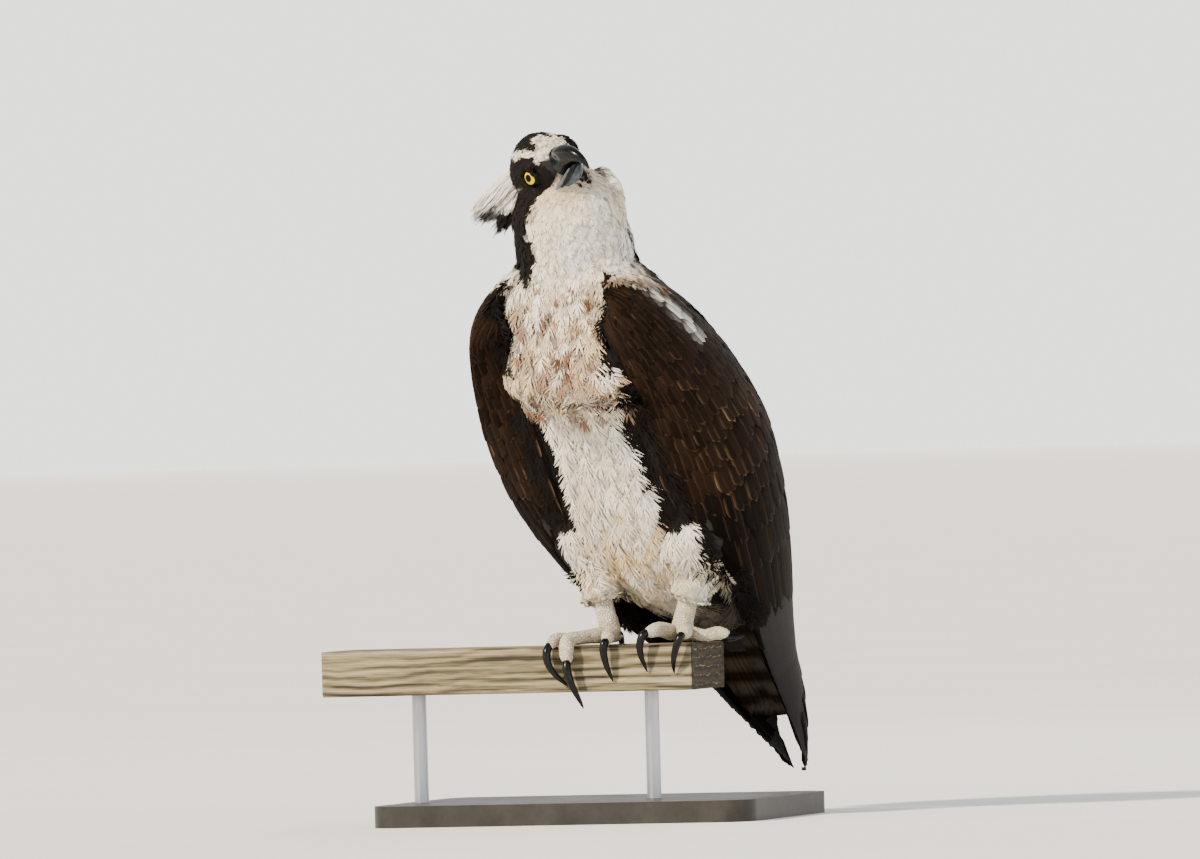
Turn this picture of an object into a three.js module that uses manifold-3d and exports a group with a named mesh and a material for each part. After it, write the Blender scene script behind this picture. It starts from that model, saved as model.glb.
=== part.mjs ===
// A life-size osprey, gripping a short length of timber rail on a plain display stand.
// Millimetres, +Z up. The bird heads along -Y, its left side is +X, and the origin is the
// centre of the stand's base on the floor.
import * as THREE from "three";
import { mergeVertices } from "three/addons/utils/BufferGeometryUtils.js";
import Module from "manifold-3d";

const wasm = await Module();
wasm.setup();

// Driving dimensions
const GAP = 0.3; // what touching pieces keep between them
const FEET_X = 60; // the point between the feet, from the base's centre
const FEET_Y = -20;
const BOARD_TOP = 146; // height of the rail's top face
const BOARD_THICK = 38;
const BOARD_WIDE = 89;
const BOARD_TURN = THREE.MathUtils.degToRad(12.5); // the rail's turn about Z
const BOARD_FRONT = 40; // the front face, ahead of the point between the feet
const BOARD_LEFT = -271; // the rail's ends, along its length from that point
const BOARD_RIGHT = 52;
const BASE_THICK = 18;
const BASE_LONG = 330;
const BASE_WIDE = 230;
const ROD_RADIUS = 6;
const LEAN = THREE.MathUtils.degToRad(39.8); // the body's lean from upright
const BODY_Y = 11.2; // the body's middle, from the point between the feet
const BODY_Z = 168; // and its height over the rail's top
const EYE_POINT = [2, -134, 396.8]; // midway between the eyes, from the point between the feet
const HEAD_YAW = THREE.MathUtils.degToRad(47.5);
const HEAD_PITCH = THREE.MathUtils.degToRad(17);
const HEAD_ROLL = THREE.MathUtils.degToRad(37);
const EYE_RADIUS = 8.4;
const EYE_APART = 19.2; // from the head's middle to each eye's centre
const WING_TIP = 360; // tailward reach of the longest primary along the body's line
const TAIL_TIP = 305;

const V = (x, y, z) => new THREE.Vector3(x, y, z);

// Solids
function closed(rings, capStart = true, capEnd = true) {
  // A closed skin over rings of equal count, with a fan to the middle at each end.
  const n = rings[0].length;
  const points = rings.flat();
  const faces = [];
  for (let i = 0; i + 1 < rings.length; i++)
    for (let j = 0; j < n; j++) {
      const a = i * n + j;
      const b = i * n + ((j + 1) % n);
      faces.push(a, b, b + n, a, b + n, a + n);
    }
  const fan = (start, order) => {
    const middle = V(0, 0, 0);
    for (let j = 0; j < n; j++) middle.addScaledVector(points[start + j], 1 / n);
    points.push(middle);
    for (let j = 0; j < n; j++) {
      const edge = [start + j, start + ((j + 1) % n)];
      if (order) edge.reverse();
      faces.push(points.length - 1, edge[0], edge[1]);
    }
  };
  if (capStart) fan(0, true);
  if (capEnd) fan((rings.length - 1) * n, false);
  return solid(points, faces);
}

function solid(points, faces) {
  let volume = 0;
  for (let i = 0; i < faces.length; i += 3) {
    const [a, b, c] = [points[faces[i]], points[faces[i + 1]], points[faces[i + 2]]];
    volume += a.dot(V(0, 0, 0).crossVectors(b, c));
  }
  const facing = volume < 0 ? faces.toReversed() : faces;
  const geometry = new THREE.BufferGeometry()
    .setAttribute("position", new THREE.Float32BufferAttribute(points.flatMap((p) => p.toArray()), 3));
  geometry.setIndex(facing);
  return manifold(geometry);
}

function manifold(geometry) {
  const bare = geometry.clone();
  bare.deleteAttribute("normal");
  bare.deleteAttribute("uv");
  const merged = mergeVertices(bare, 1e-3);
  return new wasm.Manifold(
    new wasm.Mesh({
      numProp: 3,
      vertProperties: merged.attributes.position.array,
      triVerts: new Uint32Array(merged.index.array),
    }),
  );
}

// A thin closed plate between two grids of points, cut into triangles alike on both faces.
function plate(top, under) {
  const rows = top.length;
  const columns = top[0].length;
  const points = [...top.flat(), ...under.flat()];
  const down = rows * columns;
  const faces = [];
  for (let i = 0; i + 1 < rows; i++)
    for (let j = 0; j + 1 < columns; j++) {
      const a = i * columns + j;
      const [b, c, d] = [a + columns, a + columns + 1, a + 1];
      faces.push(a, b, c, a, c, d, a + down, c + down, b + down, a + down, d + down, c + down);
    }
  const rim = [];
  for (let j = 0; j < columns; j++) rim.push(j);
  for (let i = 1; i < rows; i++) rim.push(i * columns + columns - 1);
  for (let j = columns - 2; j >= 0; j--) rim.push((rows - 1) * columns + j);
  for (let i = rows - 2; i > 0; i--) rim.push(i * columns);
  rim.forEach((a, k) => {
    const b = rim[(k + 1) % rim.length];
    faces.push(a, b, b + down, a, b + down, a + down);
  });
  return solid(points, faces);
}

const mix = THREE.MathUtils.lerp;
const ramp = (from, to, at) => THREE.MathUtils.smoothstep(at, from, to);

const joined = (parts) => parts.reduce((all, one) => all.add(one));

function largest(made) {
  const pieces = made.decompose();
  return pieces.reduce((best, one) => (one.volume() > best.volume() ? one : best));
}

// A smooth curve through [place, value, value...] rows, read at any place.
function along(rows) {
  const slope = (i, k) => {
    const a = rows[Math.max(0, i - 1)];
    const b = rows[Math.min(rows.length - 1, i + 1)];
    return (b[k] - a[k]) / (b[0] - a[0]);
  };
  return (place) => {
    const at = Math.min(Math.max(place, rows[0][0]), rows.at(-1)[0]);
    let i = 0;
    while (i < rows.length - 2 && rows[i + 1][0] < at) i++;
    const [p, q] = [rows[i], rows[i + 1]];
    const span = q[0] - p[0];
    const t = (at - p[0]) / span;
    return p.slice(1).map((_, k) => {
      const [a, b] = [p[k + 1], q[k + 1]];
      const [m, n] = [slope(i, k + 1) * span, slope(i + 1, k + 1) * span];
      const t2 = t * t;
      const t3 = t2 * t;
      return (2 * t3 - 3 * t2 + 1) * a + (t3 - 2 * t2 + t) * m + (3 * t2 - 2 * t3) * b + (t3 - t2) * n;
    });
  };
}

// A ring round centre: cosine along side, sine along up, with its own reach above and below.
// A power under one squares that half's corners.
function ring(count, centre, side, up, wide, above, below = above, high = 1, low = high) {
  return Array.from({ length: count }, (_, i) => {
    const a = (2 * Math.PI * i) / count;
    const power = Math.sin(a) > 0 ? high : low;
    const c = Math.sign(Math.cos(a)) * Math.abs(Math.cos(a)) ** power;
    const s = Math.sign(Math.sin(a)) * Math.abs(Math.sin(a)) ** power;
    return centre.clone().addScaledVector(side, wide * c).addScaledVector(up, (s > 0 ? above : below) * s);
  });
}

// A round tube through [point, radius] rows; up keeps its rings from turning.
function tube(rows, count = 8, up = V(0, 0, 1), flat = 1) {
  const points = rows.map((r) => r[0]);
  return closed(
    rows.map(([point, radius], i) => {
      const ahead = points[Math.min(i + 1, points.length - 1)];
      const behind = points[Math.max(i - 1, 0)];
      const go = ahead.clone().sub(behind).normalize();
      const side = V(0, 0, 0).crossVectors(go, up).normalize();
      const rise = V(0, 0, 0).crossVectors(side, go).normalize();
      return ring(count, point, side, rise, radius, radius * flat);
    }),
  );
}

// fromFeet counts from the point between the feet on the rail's top.
// The body's own frame: w runs tailward, d towards the back, x to the left.
const TAILWARD = V(0, Math.sin(LEAN), -Math.cos(LEAN));
const BACKWARD = V(0, Math.cos(LEAN), Math.sin(LEAN));
const LEFTWARD = V(1, 0, 0);
const fromFeet = (x, y, z) => V(FEET_X + x, FEET_Y + y, BOARD_TOP + z);
const fromBody = (x, w, d) =>
  fromFeet(x, BODY_Y, BODY_Z).addScaledVector(TAILWARD, w).addScaledVector(BACKWARD, d);

// Torso: half width, reach to the back and reach to the belly at each place along the body
const TORSO = along([
  [-208, 22, 10, 14], [-196, 44, 24, 28], [-180, 58, 38, 42], [-158, 64, 50, 60], [-140, 68, 58, 76],
  [-122, 71, 63, 86], [-108, 73, 66, 76], [-60, 76, 72, 76], [-20, 78, 75, 80], [20, 79, 74, 86],
  [60, 76, 69, 90], [95, 66, 58, 86], [125, 50, 46, 68], [155, 37, 30, 44], [185, 27, 16, 24],
]);
const TORSO_PLACES = [-208, -196, -180, -158, -140, -122, -110, -60, -20, 20, 60, 95, 125, 155, 185];
function torso(extra = 0) {
  return closed(
    TORSO_PLACES.map((w) => {
      const [wide, back, belly] = TORSO(w);
      const reach = [wide + extra, back + extra, belly + extra];
      return ring(28, fromBody(0, w, 0), LEFTWARD, BACKWARD, ...reach, 1, 0.72);
    }),
  );
}

// A point on the torso, by place and by angle round from the left through the back
function torsoPoint(w, angle, inset = 0) {
  const [wide, back, belly] = TORSO(w);
  const a = THREE.MathUtils.degToRad(angle);
  const power = Math.sin(a) > 0 ? 1 : 0.72;
  const c = Math.sign(Math.cos(a)) * Math.abs(Math.cos(a)) ** power;
  const s = Math.sign(Math.sin(a)) * Math.abs(Math.sin(a)) ** power;
  return fromBody((wide - inset) * c, w, ((s > 0 ? back : belly) - inset) * s);
}

// The bib's lower edge, lower on the left, as one smooth lip that stands off the belly
const BIB_TURNS = Array.from({ length: 15 }, (_, i) => mix(-138, -48, i / 14));
function bib(extra = 0) {
  const grid = (deeper) =>
    [[0, 3], [0.5, 0.4], [0.85, -1.6], [1, -2.2]].map(([t, depth]) =>
      BIB_TURNS.map((at, i) => {
        const turn = at + extra * ((i === BIB_TURNS.length - 1) - (i === 0));
        const edge = mix(-126, -102, ramp(-125, -70, turn));
        const off = depth - 8 * t * ramp(-122, -106, edge);
        return torsoPoint(edge - 30 * (1 - t) + extra * t, turn, off + deeper);
      }));
  return plate(grid(-extra), grid(3 + extra));
}

// Head frame: forward along the bill, left, and up through the crown
const HEAD = new THREE.Matrix4()
  .makeRotationZ(HEAD_YAW)
  .multiply(new THREE.Matrix4().makeRotationX(-HEAD_PITCH))
  .multiply(new THREE.Matrix4().makeRotationY(-HEAD_ROLL));
const fromHead = (forward, left, up) =>
  V(left, -forward, up).applyMatrix4(HEAD).add(fromFeet(...EYE_POINT));
const headWay = (forward, left, up) => V(left, -forward, up).applyMatrix4(HEAD);

// Neck: height, middle, radius across and radius fore and aft
const NECK = [
  [270, -4, -62, 50, 48], [300, -2, -82, 50, 50], [323, 0, -96, 48.5, 47], [344, 0, -107, 47, 45],
  [362, 0, -116, 44, 41], [376, -1, -121, 38, 36], [388, -3, -123, 29, 28],
];
function neck(extra = 0) {
  const lean = V(0, -0.55, 1).normalize();
  const side = V(1, 0, 0);
  const fore = V(0, 0, 0).crossVectors(lean, side).negate();
  return closed(
    NECK.map(([z, x, y, wide, deep]) => ring(24, fromFeet(x, y, z), side, fore, wide + extra, deep + extra)),
  );
}

// Skull with its feathers: place along the bill line, half width, crown height, throat depth
const SKULL = along([
  [-50, 12, 10, 10], [-46, 19, 19, 18], [-36, 26, 27.5, 26], [-22, 28, 33, 29], [-8, 26.6, 33.5, 28],
  [4, 23.4, 29, 26], [14, 18, 20.5, 23], [22, 12.5, 13, 19], [26, 8, 8.5, 14],
]);
const SKULL_PLACES = [-50, -48, -45, -40, -34, -28, -21, -14, -7, 0, 6, 12, 17, 22, 26];
function skull(extra = 0) {
  return closed(
    SKULL_PLACES.map((f) => {
      const [wide, crown, throat] = SKULL(f).map((reach) => reach + extra);
      return ring(24, fromHead(f, 0, -1), headWay(0, 1, 0), headWay(0, 0, 1), wide, crown, throat);
    }),
  );
}

// Lids round each eye, a brow ridge over it, and the crest blown to the bird's right
function lid(side) {
  const rim = new THREE.TorusGeometry(7.5, 1.9, 5, 11);
  const pose = new THREE.Matrix4().makeBasis(headWay(0, 0, 1), headWay(1, 0, 0), headWay(0, 1, 0));
  rim.applyMatrix4(pose);
  rim.translate(...fromHead(0.5, side * 24, 1).toArray());
  return manifold(rim);
}
const brow = (side) =>
  tube([
    [fromHead(-13, side * 23, 9), 3.2], [fromHead(0, side * 22.8, 11), 4], [fromHead(12, side * 17.5, 9.4), 3.4],
    [fromHead(20, side * 11, 7), 2.2],
  ], 7, headWay(0, 0, 1));
const CREST = [ // points from the point between the feet, and half width
  [-20, -108, 382, 19], [-36, -114, 377, 20], [-49, -119, 369, 18], [-60, -123, 361, 13], [-67, -126, 356, 7],
  [-70, -127, 354, 2],
];
const RUFF = [ // the shaggy left side of the nape
  [6, -92, 379, 15], [17, -92, 378, 18], [25, -93, 370, 18.5], [31, -95, 360, 17], [36, -97, 349, 13],
  [39, -99, 339, 8], [40, -100, 332, 3],
];
const tuft = (rows, extra = 0) =>
  tube(rows.map(([x, y, z, r]) => [fromFeet(x, y, z), r + extra]), 14, V(-0.4, -0.6, 0.7), 0.62);

const eyeBall = (side, radius) => {
  const ball = new THREE.SphereGeometry(radius, 13, 8);
  ball.translate(...fromHead(0, side * EYE_APART, 1).toArray());
  return manifold(ball);
};

// Upper bill: a curve that runs forward and hooks down; each row is forward, up, half width, half height
const UPPER_BILL = [
  [17, -3, 8.8, 10], [26, -3.4, 8.4, 9.6], [34, -5, 7.4, 8.6], [41, -7.8, 6, 7.2], [46.4, -12, 4.4, 5.4],
  [49.4, -17, 3, 3.8], [49.6, -21.6, 1.9, 2.3], [48, -25.6, 0.7, 0.8],
];
const LOWER_BILL = [
  [10, -19.6, 7, 4.6], [20, -20.2, 6.4, 4.2], [29, -19.8, 5, 3.3], [36, -18.6, 3.2, 2.2], [40, -17.6, 1.3, 1],
];
function billPiece(rows, extra = 0) {
  const left = headWay(0, 1, 0);
  return closed(
    rows.map(([f, u, wide, high], i) => {
      const a = rows[Math.max(0, i - 1)];
      const b = rows[Math.min(rows.length - 1, i + 1)];
      const go = headWay(b[0] - a[0], 0, b[1] - a[1]).normalize();
      const up = V(0, 0, 0).crossVectors(go, left).normalize();
      const rise = up.dot(headWay(0.3, 0, 1)) < 0 ? up.negate() : up;
      return ring(12, fromHead(f, 0, u), left, rise, wide + extra, high + extra);
    }),
  );
}

const nostril = (side) =>
  tube([
    [fromHead(27.4, side * 6.6, 2.4), 0.8], [fromHead(29, side * 8, 0.6), 1.3], [fromHead(31.6, side * 9, -2), 0.9],
  ], 6, headWay(0, 1, 0));

// Wing envelope: place, radius of the outer surface, its middle towards the back, top angle,
// bottom angle, thickness, and the front edge's place to the side and towards the back
const WING = along([
  [-192, 50, -36, 34, 0, 6, 54, -36], [-184, 64, -37, 42, -16, 15, 58, -50], [-168, 76, -38, 48, -30, 26, 47, -53],
  [-142, 87, -34, 60, -28, 28, 46, -57], [-110, 97, -29, 67, -27, 28, 48, -62], [-60, 108, -24, 74, -26, 28, 52, -72],
  [0, 112, -21, 78, -26, 28, 56, -76], [50, 106, -20, 80, -28, 26, 61, -71], [90, 97, -18, 81, -30, 22, 65, -66],
  [145, 80, -14, 82, -34, 15, 58, -51], [200, 60, -8, 82, -34, 9, 45, -38], [240, 46, -5, 81, -34, 7, 35, -30],
  [280, 36, -4, 78, -34, 6, 27, -24], [320, 23, -3, 66, -34, 5, 18, -16], [WING_TIP, 8, -3, 10, -34, 2.6, 6, -8],
]);
const WING_PLACES = [-192, -184, -168, -142, -110, -60, -15, 30, 75, 120, 165, 205, 240, 275, 310, 338, 352, WING_TIP];
const WIDE_SHARE = 1.05;
const DEEP_SHARE = 0.94;
const TIP_SHIFT = 6; // the wing tips and the tail lie a little to the left of the body's line
const narrow = (side, w) => (side < 0 ? 1 - 0.2 * ramp(190, 260, w) : 1);
function wingPoint(side, w, angle, inset = 0) {
  const [radius, middle] = WING(w);
  const own = radius * narrow(side, w);
  const a = THREE.MathUtils.degToRad(angle);
  return fromBody(
    TIP_SHIFT * ramp(170, 340, w) + side * (own * WIDE_SHARE - inset) * Math.cos(a),
    w, middle + (own * DEEP_SHARE - inset) * Math.sin(a),
  );
}
function wing(side) {
  return closed(
    WING_PLACES.map((w) => {
      const [, , top, bottom, thick, edgeX, edgeD] = WING(w);
      const shift = TIP_SHIFT * ramp(170, 340, w);
      const outer = Array.from({ length: 12 }, (_, i) => wingPoint(side, w, top + ((bottom - top) * i) / 11));
      const edge = (share) => fromBody(shift + side * edgeX * narrow(side, w) * share, w, edgeD * share);
      const low = edge(1).lerp(outer[11], 0.5).add(outer[11].clone().sub(outer[10]).multiplyScalar(0.35));
      const inner = Array.from({ length: 7 }, (_, i) =>
        wingPoint(side, w, bottom + 4 + ((top - bottom - 8) * i) / 6, thick));
      return [...outer, low, edge(1), edge(0.94), ...inner];
    }),
  );
}

// Tail: place, half width, half thickness, middle towards the back
const TAIL = along([
  [120, 14, 10, -6], [160, 23, 7, -9], [200, 26, 5, -8], [260, 28, 4, -5], [TAIL_TIP, 29, 2.6, -3],
]);
const TAIL_PLACES = [120, 160, 200, 230, 260, 285, TAIL_TIP - 4, TAIL_TIP];
function tail(extra = 0) {
  return closed(
    TAIL_PLACES.map((w, i) => {
      const [wide, thick, d] = TAIL(w);
      const share = i === TAIL_PLACES.length - 1 ? 0.7 : 1;
      const middle = fromBody(TIP_SHIFT * ramp(170, 340, w), w, d);
      return ring(16, middle, LEFTWARD, BACKWARD, wide * share + extra, thick + extra);
    }),
  );
}

// Legs: the right foot stands a little behind the left
const FOOT_HEIGHT = GAP + 8;
const FEET = { left: [35, 0], right: [-31, -6] };
const ALONG_BOARD = V(Math.cos(BOARD_TURN), Math.sin(BOARD_TURN), 0);
const OUT_FRONT = V(Math.sin(BOARD_TURN), -Math.cos(BOARD_TURN), 0);
const onBoard = (e, n, z) => fromFeet(0, 0, z).addScaledVector(ALONG_BOARD, e).addScaledVector(OUT_FRONT, n);

function thigh(name, extra = 0) {
  const side = name === "left" ? 1 : -1;
  const [footX, footY] = FEET[name];
  return tube([
    [fromBody(side * 40, 10, -36), 24 + extra], [fromBody(side * 46, 45, -52), 34 + extra],
    [fromBody(side * 44, 80, -66), 31 + extra], [fromFeet(footX + side * 12, footY + 4, 64), 22 + extra],
    [fromFeet(footX + side * 9, footY, 47), 15.5 + extra], [fromFeet(footX + side * 8, footY, 37), 12.5 + extra],
    [fromFeet(footX + side * 7, footY, 34), 10.5 + extra],
  ], 16, V(0, -1, 0));
}

function tarsus(name, extra = 0) {
  const side = name === "left" ? 1 : -1;
  const [footX, footY] = FEET[name];
  return tube([
    [fromFeet(footX + side * 10, footY + 4, 68), 8 + extra], [fromFeet(footX + side * 8, footY + 1, 46), 8 + extra],
    [fromFeet(footX + side * 4, footY, 28), 8 + extra], [fromFeet(footX + side, footY, 18), 8.6 + extra],
    [fromFeet(footX, footY, FOOT_HEIGHT + 1), 10 + extra],
  ], 12, V(0, -1, 0));
}

// Toes and claws as points along, ahead of and above the board's middle line, each with a radius
const TOES = {
  right_inner: {
    toe: [[-28, 8, 8, 7], [-24, 28, 6.4, 5.6], [-20.5, 40, 6.4, 5.6], [-19.5, 45.5, 4.4, 4.6]],
    claw: [[-19.4, 44, 5, 3], [-20.6, 49, 1.5, 3.5], [-21.2, 49.6, -6, 3.1], [-19.4, 47.6, -17, 2.4],
      [-17.4, 44, -25, 1.5], [-16, 41.6, -30, 0.5]],
  },
  right_middle: {
    toe: [[-36, 8, 8, 7], [-49, 31, 6.4, 5.8], [-54, 42.5, 4.5, 6.2], [-54, 47.6, -4, 6.2], [-53.5, 48.2, -11, 5]],
    claw: [[-53.5, 48.2, -9, 3], [-52.8, 51.6, -18, 3.6], [-50, 51.6, -29, 3.1], [-46.4, 48.6, -39, 2.4],
      [-43.4, 45, -47, 1.4], [-42, 43, -51.5, 0.5]],
  },
  right_outer: {
    toe: [[-40, 4, 8, 6.6], [-57, 20, 5.8, 5.2], [-66, 37, 5.8, 5.4], [-68.4, 45.6, 2, 4.6]],
    claw: [[-68.2, 45, 3, 3], [-70.6, 49, -4, 3.5], [-69.4, 50, -14, 3], [-63, 48.6, -24, 2.3],
      [-55.5, 46, -31, 1.4], [-50, 44, -34.5, 0.5]],
  },
  right_hind: {
    toe: [[-33, -6, 8, 6.4], [-36, -24, 6.4, 5.4], [-37.6, -36, 6, 4.8]],
    claw: [[-37.4, -34, 6.5, 2.8], [-38, -44, 8.2, 3.1], [-38.6, -51.6, 5, 2.8], [-38.8, -55, -3, 2.3],
      [-38.4, -54.4, -11, 1.5], [-38, -52.4, -17, 0.5]],
  },
  left_inner: {
    toe: [[26, 12, 9, 7], [22.5, 31, 12, 6.4], [20.5, 41, 11.5, 6], [17.4, 46, 10, 4.8]],
    claw: [[18.6, 43.6, 11, 3], [13.6, 49.6, 8, 3.5], [10.6, 50.4, 0, 3.1], [10.8, 48.6, -9, 2.4],
      [12.4, 44.6, -17, 1.5], [13.8, 41.8, -22.5, 0.5]],
  },
  left_middle: {
    toe: [[37, 12, 9, 7], [44, 31, 10.6, 6.2], [47, 41, 9.6, 5.8], [46.6, 45.6, 8, 4.6]],
    claw: [[46.8, 43.6, 9.4, 3], [45, 49.6, 5, 3.5], [41.4, 50.2, -4, 3], [38.8, 48, -12.5, 2.3],
      [37.4, 44.4, -19.4, 1.4], [37, 41.8, -24, 0.5]],
  },
  left_outer: {
    toe: [[40, 6, 8, 6.4], [54, 9, 6, 5.2], [65, 8.4, 7.4, 5.8], [72, 7.6, 6.4, 4.4]],
    claw: [[69, 8, 4.6, 2.8], [74, 7, 3.6, 3], [79, 5.6, 3.4, 2.3], [83, 4.4, 4, 1.4], [86, 3.4, 5, 0.5]],
  },
  left_hind: {
    toe: [[31, -2, 8, 6.4], [29, -20, 6.4, 5.4], [27.4, -33, 6, 4.8]],
    claw: [[27.6, -31, 6.5, 2.8], [26.6, -42, 8.6, 3.1], [26, -51, 6, 2.8], [25.6, -54.8, -2, 2.3],
      [25.6, -54.4, -10, 1.5], [26, -52.4, -16, 0.5]],
  },
};
const digit = (rows, extra, count, up) =>
  tube(rows.map(([e, n, z, r]) => [onBoard(e, n, GAP + z), r + extra]), count, up);
const ALONG = ALONG_BOARD.clone().add(V(0, 0, 0.02));
const wayUp = (name) => (name === "left_outer" ? V(0, 0, 1) : ALONG);
const toeSolid = (name, extra = 0) => digit(TOES[name].toe, extra, 10, wayUp(name));
const clawSolid = (name) => digit(TOES[name].claw, 0, 7, wayUp(name));

// Display stand and rail
function box(long, wide, high, centre, turn = 0) {
  const geometry = new THREE.BoxGeometry(long, wide, high);
  geometry.rotateZ(turn);
  geometry.translate(...centre.toArray());
  return manifold(geometry);
}
const RAIL_MIDDLE = BOARD_FRONT - BOARD_WIDE / 2;
const rail = (extra = 0) =>
  box(BOARD_RIGHT - BOARD_LEFT + 2 * extra, BOARD_WIDE + 2 * extra, BOARD_THICK + 2 * extra,
    onBoard((BOARD_LEFT + BOARD_RIGHT) / 2, RAIL_MIDDLE, -BOARD_THICK / 2), BOARD_TURN);
function baseSolid() {
  const corner = 22;
  const [x, y] = [BASE_LONG / 2, BASE_WIDE / 2];
  const outline = new THREE.Shape()
    .moveTo(corner - x, -y).lineTo(x - corner, -y).absarc(x - corner, corner - y, corner, -Math.PI / 2, 0)
    .lineTo(x, y - corner).absarc(x - corner, y - corner, corner, 0, Math.PI / 2)
    .lineTo(corner - x, y).absarc(corner - x, y - corner, corner, Math.PI / 2, Math.PI)
    .lineTo(-x, corner - y).absarc(corner - x, corner - y, corner, Math.PI, 1.5 * Math.PI);
  const slab = new THREE.ExtrudeGeometry(outline, { depth: BASE_THICK, bevelEnabled: false, curveSegments: 6 });
  slab.rotateZ(BOARD_TURN);
  return manifold(slab);
}
function rodSolid(e) {
  const high = BOARD_TOP - BOARD_THICK - BASE_THICK - 2 * GAP;
  const rod = new THREE.CylinderGeometry(ROD_RADIUS, ROD_RADIUS, high, 20);
  rod.rotateX(Math.PI / 2);
  rod.translate(...onBoard(e, RAIL_MIDDLE, BASE_THICK + GAP + high / 2 - BOARD_TOP).toArray());
  return manifold(rod);
}

// Colours: base colour, roughness, metalness
const FINISH = {
  white: [0xe9e2d4, 0.9, 0], dark: [0x3a2a20, 0.7, 0], horn: [0x1b1d22, 0.35, 0], iris: [0xe8c81e, 0.12, 0],
  skin: [0xcfc4ae, 0.75, 0], timber: [0x9d8f66, 0.85, 0], base: [0x3a3631, 0.5, 0], steel: [0x8e9094, 0.35, 1],
};
const bird = new THREE.Group();
function surfaceOf(made) {
  const mesh = made.getMesh();
  const geometry = new THREE.BufferGeometry()
    .setAttribute("position", new THREE.BufferAttribute(new Float32Array(mesh.vertProperties), 3));
  return geometry.setIndex(new THREE.BufferAttribute(new Uint32Array(mesh.triVerts), 1));
}
function place(name, made, finish) {
  const one = largest(manifold(surfaceOf(largest(made)))); // merging can leave a sliver, dropped here
  const [color, roughness, metalness] = FINISH[finish];
  const material = new THREE.MeshStandardMaterial({ color, roughness, metalness });
  const piece = new THREE.Mesh(surfaceOf(one), material);
  piece.name = name;
  bird.add(piece);
}

const torsoCut = torso(GAP + 0.2).add(bib(GAP + 0.2));
const neckCut = neck(GAP + 0.1).add(tuft(RUFF, GAP + 0.1));
const railCut = rail(GAP);
const tailCut = tail(GAP + 0.2);
const SIDES = { left: 1, right: -1 };

let head = skull().add(tuft(CREST));
for (const side of [1, -1]) head = head.add(lid(side)).add(brow(side));
for (const side of [1, -1]) head = head.subtract(eyeBall(side, EYE_RADIUS + GAP + 0.2));
const upperBill = billPiece(UPPER_BILL).subtract(nostril(1)).subtract(nostril(-1));
const upperCut = billPiece(UPPER_BILL, GAP);
head = head.subtract(upperCut).subtract(billPiece(LOWER_BILL, GAP));
const headCut = skull(GAP + 0.1).add(tuft(CREST, GAP + 0.1));
place("torso", torso().add(bib()), "white");
place("neck", neck().add(tuft(RUFF)).subtract(torsoCut).subtract(headCut), "white");
place("head", head.subtract(torsoCut), "white");
place("eye_left", eyeBall(1, EYE_RADIUS), "iris");
place("eye_right", eyeBall(-1, EYE_RADIUS), "iris");
place("bill_upper", upperBill, "horn");
place("bill_lower", billPiece(LOWER_BILL).subtract(upperCut), "horn");

for (const [name, side] of Object.entries(SIDES)) {
  const legCut = joined([thigh(name, GAP + 2), tarsus(name, GAP + 0.3)]);
  place("wing_" + name, wing(side).subtract(torsoCut).subtract(neckCut).subtract(legCut).subtract(tailCut), "dark");
  place("thigh_" + name, thigh(name).subtract(torsoCut).subtract(tarsus(name, GAP)), "white");
  place("tarsus_" + name, tarsus(name).subtract(torsoCut), "skin");
  const toes = Object.keys(TOES).filter((toe) => toe.startsWith(name));
  const foot = joined(toes.map((toe) => toeSolid(toe))).subtract(tarsus(name, GAP)).subtract(railCut);
  place("foot_" + name, foot, "skin");
}
for (const toe of Object.keys(TOES))
  place("claw_" + toe, clawSolid(toe).subtract(toeSolid(toe, GAP)).subtract(railCut), "horn");
place("tail", tail().subtract(torsoCut), "dark");
place("perch_rail", rail(), "timber");
place("stand_base", baseSolid(), "base");
place("stand_rod_left", rodSolid(BOARD_LEFT + 70), "steel");
place("stand_rod_right", rodSolid(BOARD_RIGHT - 50), "steel");

export default bird;
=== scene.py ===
"""Looks of a life-size osprey on a short timber rail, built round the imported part.

Shapes are worked out in millimetres in the part's own frame and written in metres.
"""

import math

import bpy
import numpy as np
from mathutils import Matrix, Vector


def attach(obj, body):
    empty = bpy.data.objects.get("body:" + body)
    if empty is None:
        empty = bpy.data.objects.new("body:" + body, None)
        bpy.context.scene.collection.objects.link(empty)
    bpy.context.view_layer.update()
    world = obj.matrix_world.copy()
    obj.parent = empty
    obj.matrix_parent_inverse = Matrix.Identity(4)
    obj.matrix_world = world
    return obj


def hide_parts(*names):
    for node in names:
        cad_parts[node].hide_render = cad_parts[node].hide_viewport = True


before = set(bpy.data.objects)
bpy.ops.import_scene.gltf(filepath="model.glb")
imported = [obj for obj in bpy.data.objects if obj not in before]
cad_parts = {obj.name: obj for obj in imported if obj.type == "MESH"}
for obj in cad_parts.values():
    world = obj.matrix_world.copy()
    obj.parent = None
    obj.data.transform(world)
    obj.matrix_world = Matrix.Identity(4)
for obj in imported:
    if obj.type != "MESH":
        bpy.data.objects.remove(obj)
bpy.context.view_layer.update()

MM = 0.001
rng = np.random.default_rng(11)

# Small maths


def unit(v):
    """The same vectors at length one."""
    return v / np.maximum(np.linalg.norm(v, axis=-1, keepdims=True), 1e-9)


def ramp(a, b, x):
    """Goes smoothly from 0 at a to 1 at b."""
    t = np.clip((np.asarray(x, float) - a) / (b - a), 0, 1)
    return t * t * (3 - 2 * t)


def mix(a, b, t):
    """a where t is 0 and b where t is 1; t gains an axis for points and colours."""
    t = np.asarray(t, float)
    if 3 in np.shape(a)[-1:] + np.shape(b)[-1:] and t.shape[-1:] != (1,):
        t = t[..., None]
    return a + (b - a) * t


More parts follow.
